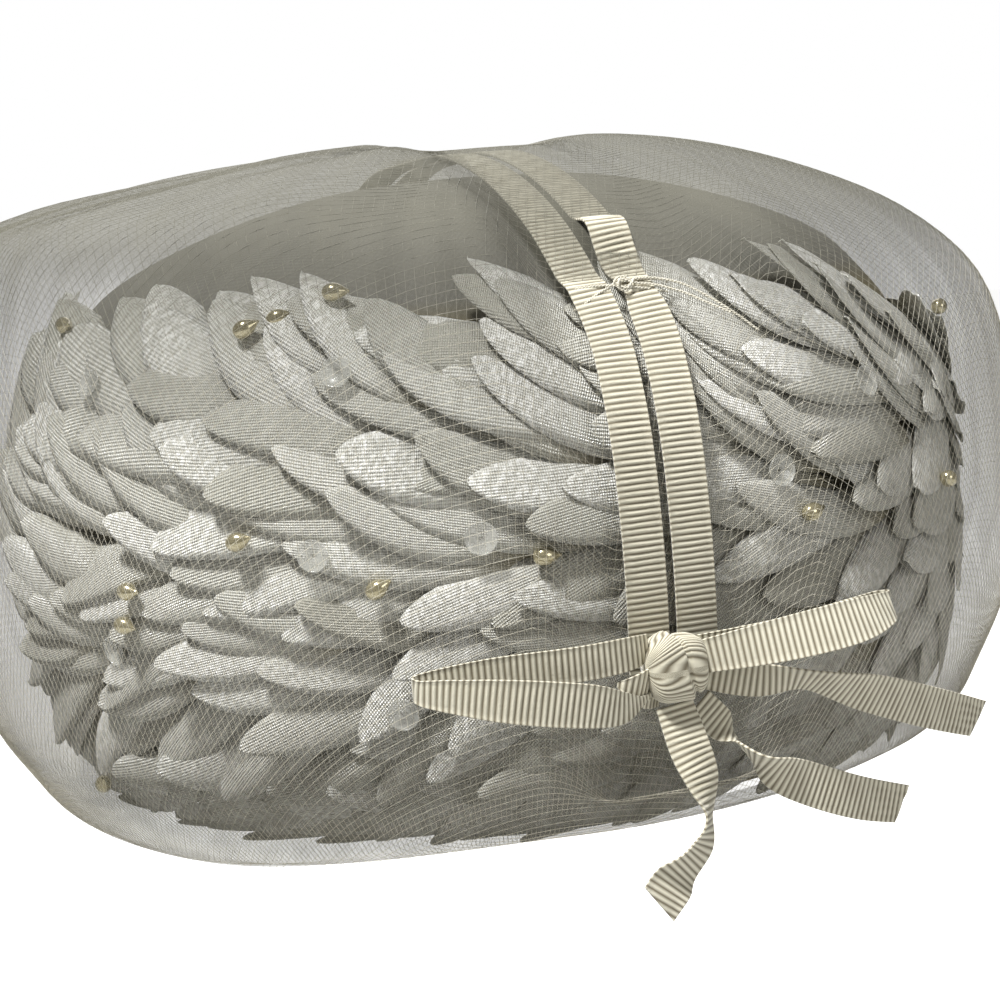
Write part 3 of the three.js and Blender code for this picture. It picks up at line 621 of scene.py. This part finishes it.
PEARL_GIRTH = 1.75
PEARL_FOOT = 1.2
PEARL_SIDES = 20
PEARL_OUTLINE = ((-2.6, 0.02), (-2.45, 0.7), (-2.05, 1.25), (-1.3, 1.62), (-0.5, 1.75), (0.4, 1.6),
                 (1.2, 1.15), (1.8, 0.7), (2.3, 0.4), (2.6, 0.28), (2.7, 0.02))
pearl_coat, tree, shader = new_material(
    "pearl_coat", 0.18, Metallic=0.75, Coat_Weight=1.0, Coat_Roughness=0.05)
pearl_colour, _ = mottled(tree, 900.0, (0.4, 0.345, 0.19, 1), (0.68, 0.62, 0.43, 1))
tree.links.new(pearl_colour, shader.inputs["Base Color"])
around = full_turn(PEARL_SIDES)
for name in sorted(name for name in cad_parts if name.startswith("pearl_")):
    middle, spread, ways = cad_form(name)
    axis = Vector(ways[0])
    lengths = spread @ ways[0]
    if lengths.max() < -lengths.min():
        axis = -axis
    middle = seat(middle, PEARL_FOOT * MM, PEARL_GIRTH * MM * 0.9)
    rings = revolved(middle, axis, PEARL_OUTLINE, around)
    pearl = mesh_piece(f"drop_{name}", rings, closed_tube(len(PEARL_OUTLINE), PEARL_SIDES))
    pearl.data.materials.append(pearl_coat)
    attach(pearl, "root")
    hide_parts(name)

SEQUIN_RADIUS = 3.0
SEQUIN_SIDES = 24
SEQUIN_OUTLINE = ((0.0, 0.3), (0.05, 0.55), (0.25, 0.75), (0.45, 1.35), (0.62, 2.1), (0.95, 2.75),
                  (1.05, 3.0), (0.8, 3.0), (0.5, 2.6), (0.2, 1.7), (0.0, 1.0), (-0.15, 0.5))
clear_sequin, tree, shader = new_material(
    "clear_sequin", 0.15, Coat_Weight=1.0, Coat_Roughness=0.06, IOR=1.6)
sequin_colour, rubbed = mottled(tree, 700.0, (0.46, 0.46, 0.41, 1), (0.76, 0.76, 0.71, 1))
tree.links.new(sequin_colour, shader.inputs["Base Color"])
tree.links.new(math_node(tree, "MULTIPLY_ADD", rubbed, 0.3, 0.24), shader.inputs["Alpha"])
tree.links.new(math_node(tree, "MULTIPLY_ADD", rubbed, 0.25, 0.1), shader.inputs["Roughness"])
around = full_turn(SEQUIN_SIDES)
rim_wave = 1 + 0.02 * np.cos(6 * around)
# The last ring joins the first, round the hole in the middle.
faces = grid_faces(len(SEQUIN_OUTLINE), SEQUIN_SIDES, wrap=True)
end = (len(SEQUIN_OUTLINE) - 1) * SEQUIN_SIDES
faces += [[end + i, end + (i + 1) % SEQUIN_SIDES, (i + 1) % SEQUIN_SIDES, i] for i in range(SEQUIN_SIDES)]
for name in sorted(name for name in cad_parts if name.startswith("sequin_")):
    middle, _, ways = cad_form(name)
    face_out = Vector(ways[2])
    if face_out.x * middle[0] + face_out.y * middle[1] < 0:
        face_out = -face_out
    middle = seat(middle, SEQUIN_RADIUS * MM * 0.8, 0.0002)
    sequin = mesh_piece(f"cup_{name}", revolved(middle, face_out, SEQUIN_OUTLINE, around, rim_wave), faces)
    sequin.data.materials.append(clear_sequin)
    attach(sequin, "root")
    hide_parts(name)

# Veil
# One round of fine net with a diamond mesh, puffed over leaves and crown, its hem gathered under the rim.
# The ribbons draw it in to a valley. Each thread is there, and a faint film stands for its finest ply and
# carries painted shade.
VEIL_STAND_OFF = 18
VEIL_OVER_CROWN = 10
VEIL_RADIUS = WIDEST + VEIL_STAND_OFF
VEIL_TOP = WALL_HEIGHT + CROWN_RISE + VEIL_OVER_CROWN
VEIL_DROP = 6
VEIL_TUCK = 18
RIBBON_WIDTH = 7.7
KNOT_HEIGHT = 32
KNOT_ASIDE = -2.5
HEM_SHARE = 0.12
# Reach as a share of the veil's radius, then height as a share of its top, for a boxy and a domed shoulder.
VEIL_PROFILE = ((1.0, 0.3, 0.3), (1.0, 0.5, 0.42), (0.98, 0.76, 0.59), (0.94, 0.875, 0.68),
                (0.84, 0.91, 0.78), (0.7, 0.935, 0.86), (0.45, 0.966, 0.945))
# Reach from the rim to the veil's radius, then shares of the drop and of the tuck.
HEM_PROFILE = ((0.46, 0.9, 0.04), (0.7, 0.6, 0.45), (0.92, 0.1, 1.0))
HEM_START = (RIM_RADIUS + 1, -1.3)
# Round the hat, in degrees: the shares of its drop below the rim and of its rise from there, and how boxy
# the shoulder is.
VEIL_AROUND = ((-180, 0.4, 1.0, 0.6), (-90, 0.6, 1.1, 1.0), (-50, 0.9, 0.8, 0.95), (-10, 0.1, 1.1, 0.7),
               (30, 0.0, 1.5, 0.2), (90, 0.0, 1.7, 0.05), (140, 0.2, 1.2, 0.3), (180, 0.4, 1.0, 0.6))
GROOVE_INNER = RIBBON_WIDTH * 1.45
GROOVE_OUTER = RIBBON_WIDTH * 3.6
GROOVE_LIFT = 8.4
CROWN_GROOVE_LIFT = 5.0
PUCKERS = 11
PUCKER_DEPTH = 0.8
LUMP_HEIGHT = 1.3
CLEAR_NET = 0.055
VEIL_COLUMNS = 288
VEIL_SAMPLES = 160


def around_hat(degrees):
    table = np.array(VEIL_AROUND)
    after = np.clip(np.searchsorted(table[:, 0], degrees), 1, len(table) - 1)
    a, b = table[after - 1], table[after]
    return (a + (b - a) * smooth_step(degrees, a[0], b[0]))[1:]


veil_radii, veil_heights = [], []
for column in range(VEIL_COLUMNS):
    drop, tuck, box = around_hat(-180 + 360 * column / VEIL_COLUMNS)
    hem = [
        (RIM_RADIUS + (VEIL_RADIUS - RIM_RADIUS) * out, up * VEIL_TUCK * tuck - down * VEIL_DROP * drop)
        for out, down, up in HEM_PROFILE
    ]
    bubble = [
        (reach * VEIL_RADIUS, (domed + (boxy - domed) * box) * VEIL_TOP)
        for reach, boxy, domed in VEIL_PROFILE
    ]
    line = Profile([HEM_START, *hem, *bubble, (0, VEIL_TOP)], samples=16)
    radii, heights = line.at(np.linspace(0, 1, VEIL_SAMPLES))
    veil_radii.append(radii)
    veil_heights.append(heights)
veil_radii, veil_heights = np.array(veil_radii), np.array(veil_heights)


def read_table(table, turn, share):
    place = (np.degrees(turn) + 180) / 360 * VEIL_COLUMNS
    low = np.floor(place).astype(int)
    part = place - low
    low, high = low % VEIL_COLUMNS, (low + 1) % VEIL_COLUMNS
    up = np.clip(share, 0, 1) * (VEIL_SAMPLES - 1)
    step = np.minimum(np.floor(up).astype(int), VEIL_SAMPLES - 2)
    rest = up - step
    lower = table[low, step] * (1 - part) + table[high, step] * part
    upper = table[low, step + 1] * (1 - part) + table[high, step + 1] * part
    return lower * (1 - rest) + upper * rest


def veil_points(turn, share):
    """The veil's face at turns in radians and shares from the hem, 0, to the middle of the crown, 1."""
    radius, height = read_table(veil_radii, turn, share), read_table(veil_heights, turn, share)
    full = radius
    swell = np.sin(math.pi * np.clip(share, 0, 1)) ** 2
    pucker = np.sin(turn * PUCKERS + 2.5 * share) * swell
    radius = radius - PUCKER_DEPTH * (1 + pucker) * np.minimum(1, full / RIM_RADIUS) ** 2
    left = 0.5 - 0.5 * np.tanh(3 * np.sin(turn))
    lumps = np.sin(turn * 7 + 5 * share) * np.sin(9 * share + 2 * turn) * LUMP_HEIGHT
    lumps = lumps + np.sin(turn * 17 - 12 * share) * 0.7
    height = height + lumps * left * swell
    radius = radius + lumps * left * swell * 0.7
    aside = np.abs(full * np.sin(turn))
    climb = np.clip((share - HEM_SHARE) / (1 - HEM_SHARE), 0, 1)
    front = smooth_step(height, KNOT_HEIGHT - 3.6 * RIBBON_WIDTH, KNOT_HEIGHT - RIBBON_WIDTH)
    foot = np.where(np.cos(turn) > 0, front, smooth_step(height, 0, RIBBON_WIDTH))
    weight = (1 - smooth_step(aside, GROOVE_INNER, GROOVE_OUTER)) * foot
    lift = GROOVE_LIFT + (CROWN_GROOVE_LIFT - GROOVE_LIFT) * climb**3
    groove_r, groove_z = foundation_line.at(climb)
    groove_out, groove_up = foundation_line.normal(climb)
    radius = radius + (groove_r + groove_out * lift - radius) * weight
    height = height + (groove_z + groove_up * lift - height) * weight
    return round_axis(turn, radius, height)


FILM_TURNS = 240
FILM_RINGS = 90
film_turns = np.linspace(-math.pi, math.pi, FILM_TURNS, endpoint=False)
film_shares = np.linspace(0, 0.996, FILM_RINGS)
film_grid = veil_points(*np.meshgrid(film_turns, film_shares))
film_faces = grid_faces(FILM_RINGS, FILM_TURNS, wrap=True)
last = (FILM_RINGS - 1) * FILM_TURNS
film_faces.append(list(range(last, last + FILM_TURNS)))
veil_film = mesh_piece("veil_net", film_grid, film_faces)
# How dense the net looks: clear in front of the leaves and hazy over the crown. At the sides and round the
# hem it is thick, partly for its folds and partly as painted shade.
crown_haze = 0.5 * smooth_step(film_grid[..., 2], 90, 116)
degrees = np.degrees(film_turns)[None]
side_fold_and_shade = 0.5 * smooth_step(degrees, 30, 75) + 0.48 * smooth_step(-degrees, 62, 100)
fold_and_shade_haze = side_fold_and_shade * (1 - 0.7 * smooth_step(np.abs(degrees), 118, 150))
hem_gather_and_shade = 0.36 * (1 - smooth_step(film_grid[..., 2], 2, 26))
streaks = 0.06 * np.sin(degrees * 1.1 + 14 * film_shares[:, None]) * np.sin(degrees * 0.37)
density = np.clip(CLEAR_NET + np.maximum(crown_haze, fold_and_shade_haze + hem_gather_and_shade) + streaks, 0.05, 0.6)
set_values(veil_film.data, "net_haze_and_shade", density.ravel())
film, tree, shader = new_material("net_film", 0.75)
shader.inputs["Specular IOR Level"].default_value = 0.15
tree.links.new(mesh_value(tree, "net_haze_and_shade"), shader.inputs["Alpha"])
# The film's colour is dark, so that where it is thick it paints shade.
film_shade_colour, _ = mottled(tree, 30.0, (0.115, 0.11, 0.084, 1), (0.175, 0.169, 0.137, 1))
tree.links.new(film_shade_colour, shader.inputs["Base Color"])
veil_film.data.materials.append(film)
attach(veil_film, "root")
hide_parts("veil")

NET_RADIUS = 236
NET_SPACING = 1.75
NET_STEP = 5.2
NET_THREAD = 0.04
NET_ANGLES = (20, -80)
NET_MARGIN = 4
NET_MIDDLE = (0, 0, 50)
net_thread, tree, shader = new_material("net_thread", 0.6)
net_colour, _ = mottled(tree, 25.0, (0.42, 0.38, 0.28, 1), (0.66, 0.63, 0.54, 1))
shaded = remap(tree, height_in(tree), 0.082, 0.108, to_high=0.92)
tree.links.new(mix_colours(tree, shaded, net_colour, (0.15, 0.145, 0.115, 1)), shader.inputs["Base Color"])


def unit(rows):
    return rows / np.linalg.norm(rows, axis=-1, keepdims=True)


def tube_rings(centres, side, over, radius, corners):
    """A ring of corners round each centre, in the plane of two unit rows."""
    angles = 2 * math.pi * np.arange(corners)[:, None] / corners
    spokes = side[:, None] * np.cos(angles) + over[:, None] * np.sin(angles)
    return (centres[:, None] + spokes * radius).reshape(-1, 3)


reach = int((NET_RADIUS - NET_MARGIN) / NET_SPACING)
halves = [(degrees, numbers) for degrees in NET_ANGLES for numbers in (range(-reach, 0), range(reach))]
for half_net, (degrees, numbers) in enumerate(halves):
    slope = math.radians(degrees)
    run = np.array([math.sin(slope), math.cos(slope)])
    aside = np.array([run[1], -run[0]])
    points, faces, count = [], [], 0
    for number in numbers:
        offset = (number + 0.5) * NET_SPACING
        half = math.sqrt(NET_RADIUS**2 - offset**2)
        steps = max(3, int(2 * half / NET_STEP))
        flat = np.linspace(-half, half, steps)[:, None] * run + offset * aside
        distance = np.linalg.norm(flat, axis=1)
        turn = np.arctan2(flat[:, 0], -flat[:, 1])
        line = veil_points(turn, 1 - distance / NET_RADIUS)
        thread_way = unit(np.gradient(line, axis=0))
        side = unit(np.cross(thread_way, line - NET_MIDDLE))
        points.append(tube_rings(line, side, np.cross(side, thread_way), NET_THREAD, 3))
        faces += grid_faces(steps, 3, wrap=True, start=count)
        count += 3 * steps
    piece = mesh_piece(f"net_threads_{half_net + 1}", np.concatenate(points), faces)
    piece.data.materials.append(net_thread)
    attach(piece, "root")

# Ribbons
# Cream grosgrain, 7.7 mm wide, with a rib every 1.1 mm and a firm selvedge. Two run side by side up the wall
# and over the crown, on the veil, from behind the bow's knot to the rim at the back.
RIB = 1.1
RIB_STEPS = 5
RIBBON_THICK = 0.42
RIBBON_ACROSS = np.array([-1, -0.965, -0.93, -0.6, -0.2, 0.2, 0.6, 0.93, 0.965, 1])
RIBBON_BODY = np.array([0.75, 1.15, 0.9, 1, 1, 1, 1, 0.9, 1.15, 0.75])
grosgrain, tree, shader = new_material("grosgrain", 0.62, Sheen_Weight=0.25, Sheen_Roughness=0.5)


def ribbon_piece(name, centres, wides, widths, cut=0.0):
    """A ribbed ribbon along a line of centres, with its width's ways and sizes, all in mm."""
    centres = np.asarray(centres, float)
    arc = arc_along(centres)
    along = unit(np.gradient(centres, arc, axis=0))
    wide = np.asarray(wides, float)
    wide = unit(wide - (wide * along).sum(1, keepdims=True) * along)
    out = np.cross(along, wide)
    rows = np.hstack([centres, wide, out, np.asarray(widths, float)[:, None]])
    places = np.arange(0, arc[-1], RIB / RIB_STEPS)
    slant = cut * RIBBON_WIDTH / 2 * smooth_step(places, arc[-1] - 2 * RIBBON_WIDTH, arc[-1])
    spots = places[:, None] - np.abs(slant)[:, None] + slant[:, None] * RIBBON_ACROSS
    read = np.stack([np.interp(spots, arc, rows[:, k]) for k in range(rows.shape[1])], -1)
    line, wide, out, width = read[..., 0:3], read[..., 3:6], read[..., 6:9], read[..., 9:]
    rib = np.abs(np.sin(math.pi * (spots / RIB + 0.06 * np.sin(3.1 * RIBBON_ACROSS + 0.9 * spots)))) ** 1.3
    sheet = []
    for face in (1, -1):
        swell = (rib - 0.5) * 0.26 * (np.abs(RIBBON_ACROSS) < 0.9)
        height = face * (RIBBON_BODY * RIBBON_THICK / 2 + swell)
        sheet.append(line + wide * width * RIBBON_ACROSS[:, None] / 2 + out * height[..., None])
    ring = np.concatenate([sheet[0], sheet[1][:, ::-1]], 1)
    piece = mesh_piece(name, ring, closed_tube(*ring.shape[:2]))
    piece.data.materials.append(grosgrain)
    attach(piece, "root")
    set_values(piece.data, "rib", (np.concatenate([spots, spots[:, ::-1]], 1) / RIB).ravel())
    return piece


RIBBON_GAP = 1.5
BAND_SEAT = 0.75
# Above the thread tie the ribbons pass under the net, and the right one is pushed up in a fold there.
BAND_UNDER_NET = 1.9
TIE_HEIGHT = 97
FOLD_PLACE = 88
FOLD_BREADTH = 3.2
FOLD_LOWEST = 60
FOLD_RISE = 3.4
CROWN_LEAN = 3.5
BAND_SAMPLES = 220
for side, node in ((-1, "band_left"), (1, "band_right")):
    offset = side * (RIBBON_WIDTH + RIBBON_GAP) / 2
    halves = []
    for turn, lowest in ((0.0, KNOT_HEIGHT - 3), (math.pi, RIBBON_WIDTH)):
        shares = np.linspace(HEM_SHARE, 0.99, BAND_SAMPLES)
        line = veil_points(np.full(BAND_SAMPLES, turn - 1e-6), shares)
        radius = np.hypot(line[:, 0], line[:, 1])
        forward = -1 if turn == 0 else 1
        tangent = unit(np.gradient(np.stack([radius, line[:, 2]], -1), axis=0))
        seat_lift = BAND_SEAT - BAND_UNDER_NET * smooth_step(line[:, 2], TIE_HEIGHT, TIE_HEIGHT + 4)
        if side > 0 and turn == 0:
            fold = np.exp(-(((radius - FOLD_PLACE) / FOLD_BREADTH) ** 2)) * (line[:, 2] > FOLD_LOWEST)
            seat_lift = seat_lift + FOLD_RISE * fold
        radius = radius + tangent[:, 1] * seat_lift
        height = line[:, 2] - tangent[:, 0] * seat_lift
        aside = offset - CROWN_LEAN * smooth_step(height, TIE_HEIGHT - 12, TIE_HEIGHT + 18)
        keep = (radius > np.abs(aside) * 1.5 + 1) & (height > lowest)
        depth = np.sqrt(np.maximum(radius**2 - aside**2, 0))
        pinch = 0.24 * np.exp(-(((height - TIE_HEIGHT) / 2.5) ** 2)) * (side > 0 and turn == 0)
        halves.append(np.stack([aside, forward * depth, height, RIBBON_WIDTH * (1 - pinch)], -1)[keep])
    rows = np.concatenate([halves[0], halves[1][::-1]])
    wides = np.tile([-1.0, 0, 0], (len(rows), 1))
    band = ribbon_piece(node.replace("band", "ribbon"), rows[:, :3], wides, rows[:, 3])
    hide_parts(node)

rib_phase = math_node(tree, "MULTIPLY", mesh_value(tree, "rib"), math.pi)
rib_wave = math_node(tree, "ABSOLUTE", math_node(tree, "SINE", rib_phase))
fibre = noise(tree, place_in(tree), 2600.0, 2.0)
ribbon_high, _ = mottled(tree, 45.0, (0.57, 0.535, 0.41, 1), (0.74, 0.71, 0.59, 1))
# Painted shade: the valleys between the ribs are dark, and the crests keep the ribbon's colour.
rib_crest = math_node(tree, "POWER", rib_wave, 1.5)
ribbon_colour = mix_colours(tree, rib_crest, (0.15, 0.125, 0.075, 1), ribbon_high)
tree.links.new(ribbon_colour, shader.inputs["Base Color"])
bump(tree, shader, fibre, 0.35, 0.0002)

# Thread tie
# A doubled sewing thread is passed round both ribbons at the crown's edge and knotted, to hold the fold. Its
# two twisted ends are left long, and lie down to the right over the net.
PLIES = 2
PLY_RADIUS = 0.13
PLY_SIDES = 5
PLY_TWIST = 1.3
THREAD_STEP = 0.18
tie_line = veil_points(np.full(600, -1e-6), np.linspace(HEM_SHARE, 0.99, 600))
tie_radius, tie_up = np.hypot(tie_line[:, 0], tie_line[:, 1]), tie_line[:, 2]
tie_arc = arc_along(np.stack([tie_radius, tie_up], -1))
tie_middle = tie_arc[np.argmin(np.abs(tie_up - TIE_HEIGHT) + 100 * (tie_radius < 60))]


def by_tie(aside, up_ribbon, lift):
    """A point near the tie: aside along X, then along the ribbons and off them, in mm from its middle."""
    arc = tie_middle + up_ribbon
    radius, height = np.interp(arc, tie_arc, tie_radius), np.interp(arc, tie_arc, tie_up)
    ahead_r, ahead_z = np.interp(arc + 0.5, tie_arc, tie_radius), np.interp(arc + 0.5, tie_arc, tie_up)
    size = math.hypot(ahead_r - radius, ahead_z - height)
    radius += (ahead_z - height) / size * lift
    height -= (ahead_r - radius + (ahead_z - height) / size * lift) / size * lift * 0.4
    return aside, -math.sqrt(max(radius**2 - aside**2, 0)), height


def smooth_rows(rows, samples=14):
    """A smooth line through rows of numbers."""
    rows = np.asarray(rows, float)
    rows = np.vstack([2 * rows[0] - rows[1], rows, 2 * rows[-1] - rows[-2]])
    line = []
    for a, b, c, d in zip(rows, rows[1:], rows[2:], rows[3:]):
        t = np.linspace(0, 1, samples, endpoint=False)[:, None]
        bend, twist = 2 * a - 5 * b + 4 * c - d, 3 * b - a - 3 * c + d
        line.append(0.5 * (2 * b + (c - a) * t + bend * t**2 + twist * t**3))
    line.append(rows[-2][None])
    return np.concatenate(line)


def thread_tubes(path, start):
    """Twisted plies along a smooth line through the points, as points and faces of tubes."""
    line = smooth_rows(path, 24)
    arc = arc_along(line)
    places = np.arange(0, arc[-1], THREAD_STEP)
    middle = np.stack([np.interp(places, arc, line[:, k]) for k in range(3)], -1)
    along = unit(np.gradient(middle, axis=0))
    side = unit(np.cross(along, np.array([0.1, 0.2, 1.0])))
    over = np.cross(side, along)
    points, faces = [], []
    for ply in range(PLIES):
        twist = (2 * math.pi * (places / PLY_TWIST + ply / PLIES))[:, None]
        centre = middle + (side * np.cos(twist) + over * np.sin(twist)) * PLY_RADIUS
        faces += grid_faces(len(places), PLY_SIDES, True, start + ply * PLY_SIDES * len(places))
        points.append(tube_rings(centre, side, over, PLY_RADIUS, PLY_SIDES))
    return np.concatenate(points), faces


# Each row: aside, along the ribbons, and off them.
TIE_PATHS = (
    ((-9.2, -3.4, -0.6), (-8.2, -3.0, 1.0), (-4.0, -0.4, 1.2), (0.2, 1.2, 1.3), (4.4, 1.6, 1.2),
     (9.0, 1.0, 1.0), (9.8, 0.6, -0.6)),
    ((-9.2, 1.2, -0.6), (-8.2, 0.8, 1.0), (-3.6, 0.9, 1.4), (0.6, 0.2, 1.6), (4.8, -0.6, 1.3),
     (9.4, -1.4, -0.4)),
    ((-1.6, 0.6, 1.4), (-0.4, 2.0, 2.3), (1.2, 1.9, 2.6), (1.7, 0.2, 2.3), (0.6, -0.9, 2.1),
     (-0.9, -0.2, 2.5), (-0.2, 1.5, 2.9), (1.5, 1.0, 2.5), (3.2, 0.6, 1.9), (6.5, -0.2, 2.0),
     (10.5, -2.6, 3.4), (14.0, -5.4, 4.8), (17.6, -8.2, 6.4)),
    ((-1.0, 1.4, 1.6), (0.4, -0.4, 2.4), (1.8, 0.6, 2.6), (3.0, 1.6, 2.0), (6.8, 1.2, 2.2),
     (11.0, -1.0, 3.6), (15.0, -4.8, 5.2), (18.6, -9.0, 7.0), (21.0, -12.4, 8.6)),
)
points, faces, count = [], [], 0
for rows in TIE_PATHS:
    tube_points, tube_faces = thread_tubes([by_tie(*row) for row in rows], count)
    points.append(tube_points)
    faces += tube_faces
    count += len(tube_points)
tie = mesh_piece("thread_tie", np.concatenate(points), faces)
sewing_thread, tree, shader = new_material("sewing_thread", 0.5, Sheen_Weight=0.3)
sewing_colour, _ = mottled(tree, 500.0, (0.5, 0.47, 0.37, 1), (0.74, 0.71, 0.62, 1))
tree.links.new(sewing_colour, shader.inputs["Base Color"])
tie.data.materials.append(sewing_thread)
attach(tie, "root")

# Bow
# The same grosgrain, tied in a small flat bow low on the front: a wound knot, a loop each way, one tail to
# the right and two hanging tails with cut ends.
LOOP_LENGTH = 46
TAIL_LENGTH = 62
# Rows: girth from the knot as a share of the length; height and lift in ribbon widths; lean and roll in
# degrees; breadth as a share of the ribbon's width. The number before them slants the cut end.
BOW_PIECES = {
    "bow_loop_left": (LOOP_LENGTH, 0, (
        (-0.1, -0.52, -0.5, 0, 0, 0.12), (-0.163, -0.58, -0.1, 0, 0, 0.2), (-0.26, -0.57, 0.35, 0, 0, 0.72),
        (-0.4, -0.34, 0.7, 0, 0, 0.97), (-0.65, -0.02, 0.95, 0, 0, 0.97), (-0.86, 0.2, 0.9, 0, 0, 0.75),
        (-0.98, 0.3, 0.72, 0, 0, 0.55), (-0.97, 0.38, 0.42, 0, 0, 0.55), (-0.72, 0.44, 0.28, 0, 0, 0.8),
        (-0.4, 0.45, 0.05, 0, 0, 0.8), (-0.2, 0.47, -0.25, 0, 0, 0.76), (-0.1, 0.5, -0.6, 0, 0, 0.6))),
    "bow_loop_right": (LOOP_LENGTH, 0, (
        (0.08, 0.1, -0.45, 0, 0, 0.7), (0.135, 0.2, -0.15, 0, 0, 0.8), (0.4, 0.45, 0.6, 0, -15, 1),
        (0.66, 0.62, 0.95, 0, -20, 1), (0.83, 0.74, 0.85, 0, -20, 0.7), (0.82, 0.76, 0.5, 0, -10, 0.6),
        (0.66, 0.6, 0.42, 0, 0, 0.8), (0.4, 0.42, 0.12, 0, 0, 0.8), (0.1, 0.3, -0.6, 0, 0, 0.6))),
    "bow_tail_right": (TAIL_LENGTH, 0.4, (
        (0.095, -0.35, -0.8, 0, 0, 0.7), (0.24, -0.6, -0.35, 0, 20, 0.9), (0.38, -0.72, 0.2, 0, 55, 0.9),
        (0.57, -1.3, 0.5, 12, 25, 1), (0.78, -2.0, 0.75, 15, 10, 1), (0.98, -2.65, 0.95, 15, 0, 0.9))),
    "bow_tail_long": (TAIL_LENGTH, -0.3, (
        (-0.02, -0.84, -0.35, -90, 0, 0.9), (0.0, -1.8, 0.0, -80, 0, 1), (0.02, -2.5, 0.2, -80, 20, 1),
        (0.025, -3.3, 0.35, -90, 60, 0.9), (-0.005, -4.0, 0.4, -90, 30, 0.9),
        (-0.09, -4.65, 0.4, -120, 0, 1), (-0.15, -5.25, 0.4, -120, 0, 1))),
    "bow_tail_low": (TAIL_LENGTH, 0.25, (
        (0.07, -0.95, -0.58, -70, 0, 0.7), (0.16, -1.85, -0.45, -45, 0, 0.85),
        (0.22, -2.5, 0.15, -30, 15, 0.9), (0.35, -3.1, 0.3, -10, 0, 1), (0.51, -3.7, 0.4, 0, 0, 1),
        (0.67, -4.15, 0.5, 0, 0, 0.9))),
}


def by_knot(rows, length):
    """A smooth line's rows, its turns round the hat and its points, for rows of girth, height and lift."""
    line = smooth_rows(rows)
    turn = (KNOT_ASIDE + line[:, 0] * length) / VEIL_RADIUS
    height = KNOT_HEIGHT + line[:, 1] * RIBBON_WIDTH
    return line, turn, round_axis(turn, VEIL_RADIUS + line[:, 2] * RIBBON_WIDTH, height)


for node, (length, cut, rows) in BOW_PIECES.items():
    line, turn, centres = by_knot(rows, length)
    lean, roll = np.radians(line[:, 3]), np.radians(line[:, 4])
    wides = np.stack([
        np.cos(turn) * np.sin(lean) * np.cos(roll) + np.sin(turn) * np.sin(roll),
        np.sin(turn) * np.sin(lean) * np.cos(roll) - np.cos(turn) * np.sin(roll),
        np.cos(lean) * np.cos(roll)], -1)
    piece = ribbon_piece(node.replace("bow", "tied"), centres, wides, RIBBON_WIDTH * line[:, 5], cut)
    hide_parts(node)

# Left of the knot the winding comes out from under it in a small pointed fold.
KNOT_FOLD = ((-0.05, -0.42, -0.75, 1.1), (-0.12, -0.38, -0.4, 1.0), (-0.17, -0.3, -0.16, 0.72),
             (-0.225, -0.2, -0.06, 0.34), (-0.26, -0.16, -0.12, 0.1))
line, _, centres = by_knot(KNOT_FOLD, LOOP_LENGTH)
ribbon_piece("knot_fold", centres, np.tile([0.3, 0, 1.0], (len(line), 1)), RIBBON_WIDTH * line[:, 3])

# The knot is one short length of the same ribbon wound round the middle. Its first turn lies in a slanting
# fold over the second, so that the ribs fan out on its left half and lie level on its right.
low, high = np.array(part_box("bow_knot")) / MM
knot_middle, knot_half = (low + high) / 2, (high - low) / 2
KNOT_AROUND, KNOT_ACROSS, WOUND_RIBS = 216, 64, 31
KNOT_SQUARENESS = 0.5
around, over = np.meshgrid(full_turn(KNOT_AROUND), np.linspace(-1, 1, KNOT_ACROSS))


def squared(value):
    return np.sign(value) * np.abs(value) ** KNOT_SQUARENESS


crease = 0.16 - 0.26 * np.sin(around)
first_turn = 1 - smooth_step(over, crease - 0.05, crease + 0.05)
fan = WOUND_RIBS * around / (2 * math.pi) - over * (1.6 + 2.4 * np.sin(around))
level = WOUND_RIBS * around / (2 * math.pi) + 0.9 * over
rib_turns = np.where(first_turn > 0.5, fan, level)
edge = np.clip(1 - np.abs(over) ** 5, 0, 1) ** 0.5
ridge = 0.86 + 0.12 * first_turn + 0.03 * np.abs(np.sin(math.pi * rib_turns)) ** 1.3
ridge -= 0.1 * np.exp(-(((over - crease - 0.1) / 0.07) ** 2))
slope = 1 - 0.3 * smooth_step(-over, 0.1, 1) * (np.sin(around) > 0) * np.abs(np.sin(around))
shape = np.stack([
    over * knot_half[0],
    -squared(np.cos(around)) * np.maximum(edge, 0.35) * knot_half[1] * ridge,
    squared(np.sin(around)) * np.maximum(edge, 0.35) * knot_half[2] * ridge * slope], -1)
knot = mesh_piece("tied_knot", shape + knot_middle, closed_tube(KNOT_ACROSS, KNOT_AROUND))
set_values(knot.data, "rib", rib_turns.ravel())
knot.data.materials.append(grosgrain)
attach(knot, "root")
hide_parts("bow_knot")
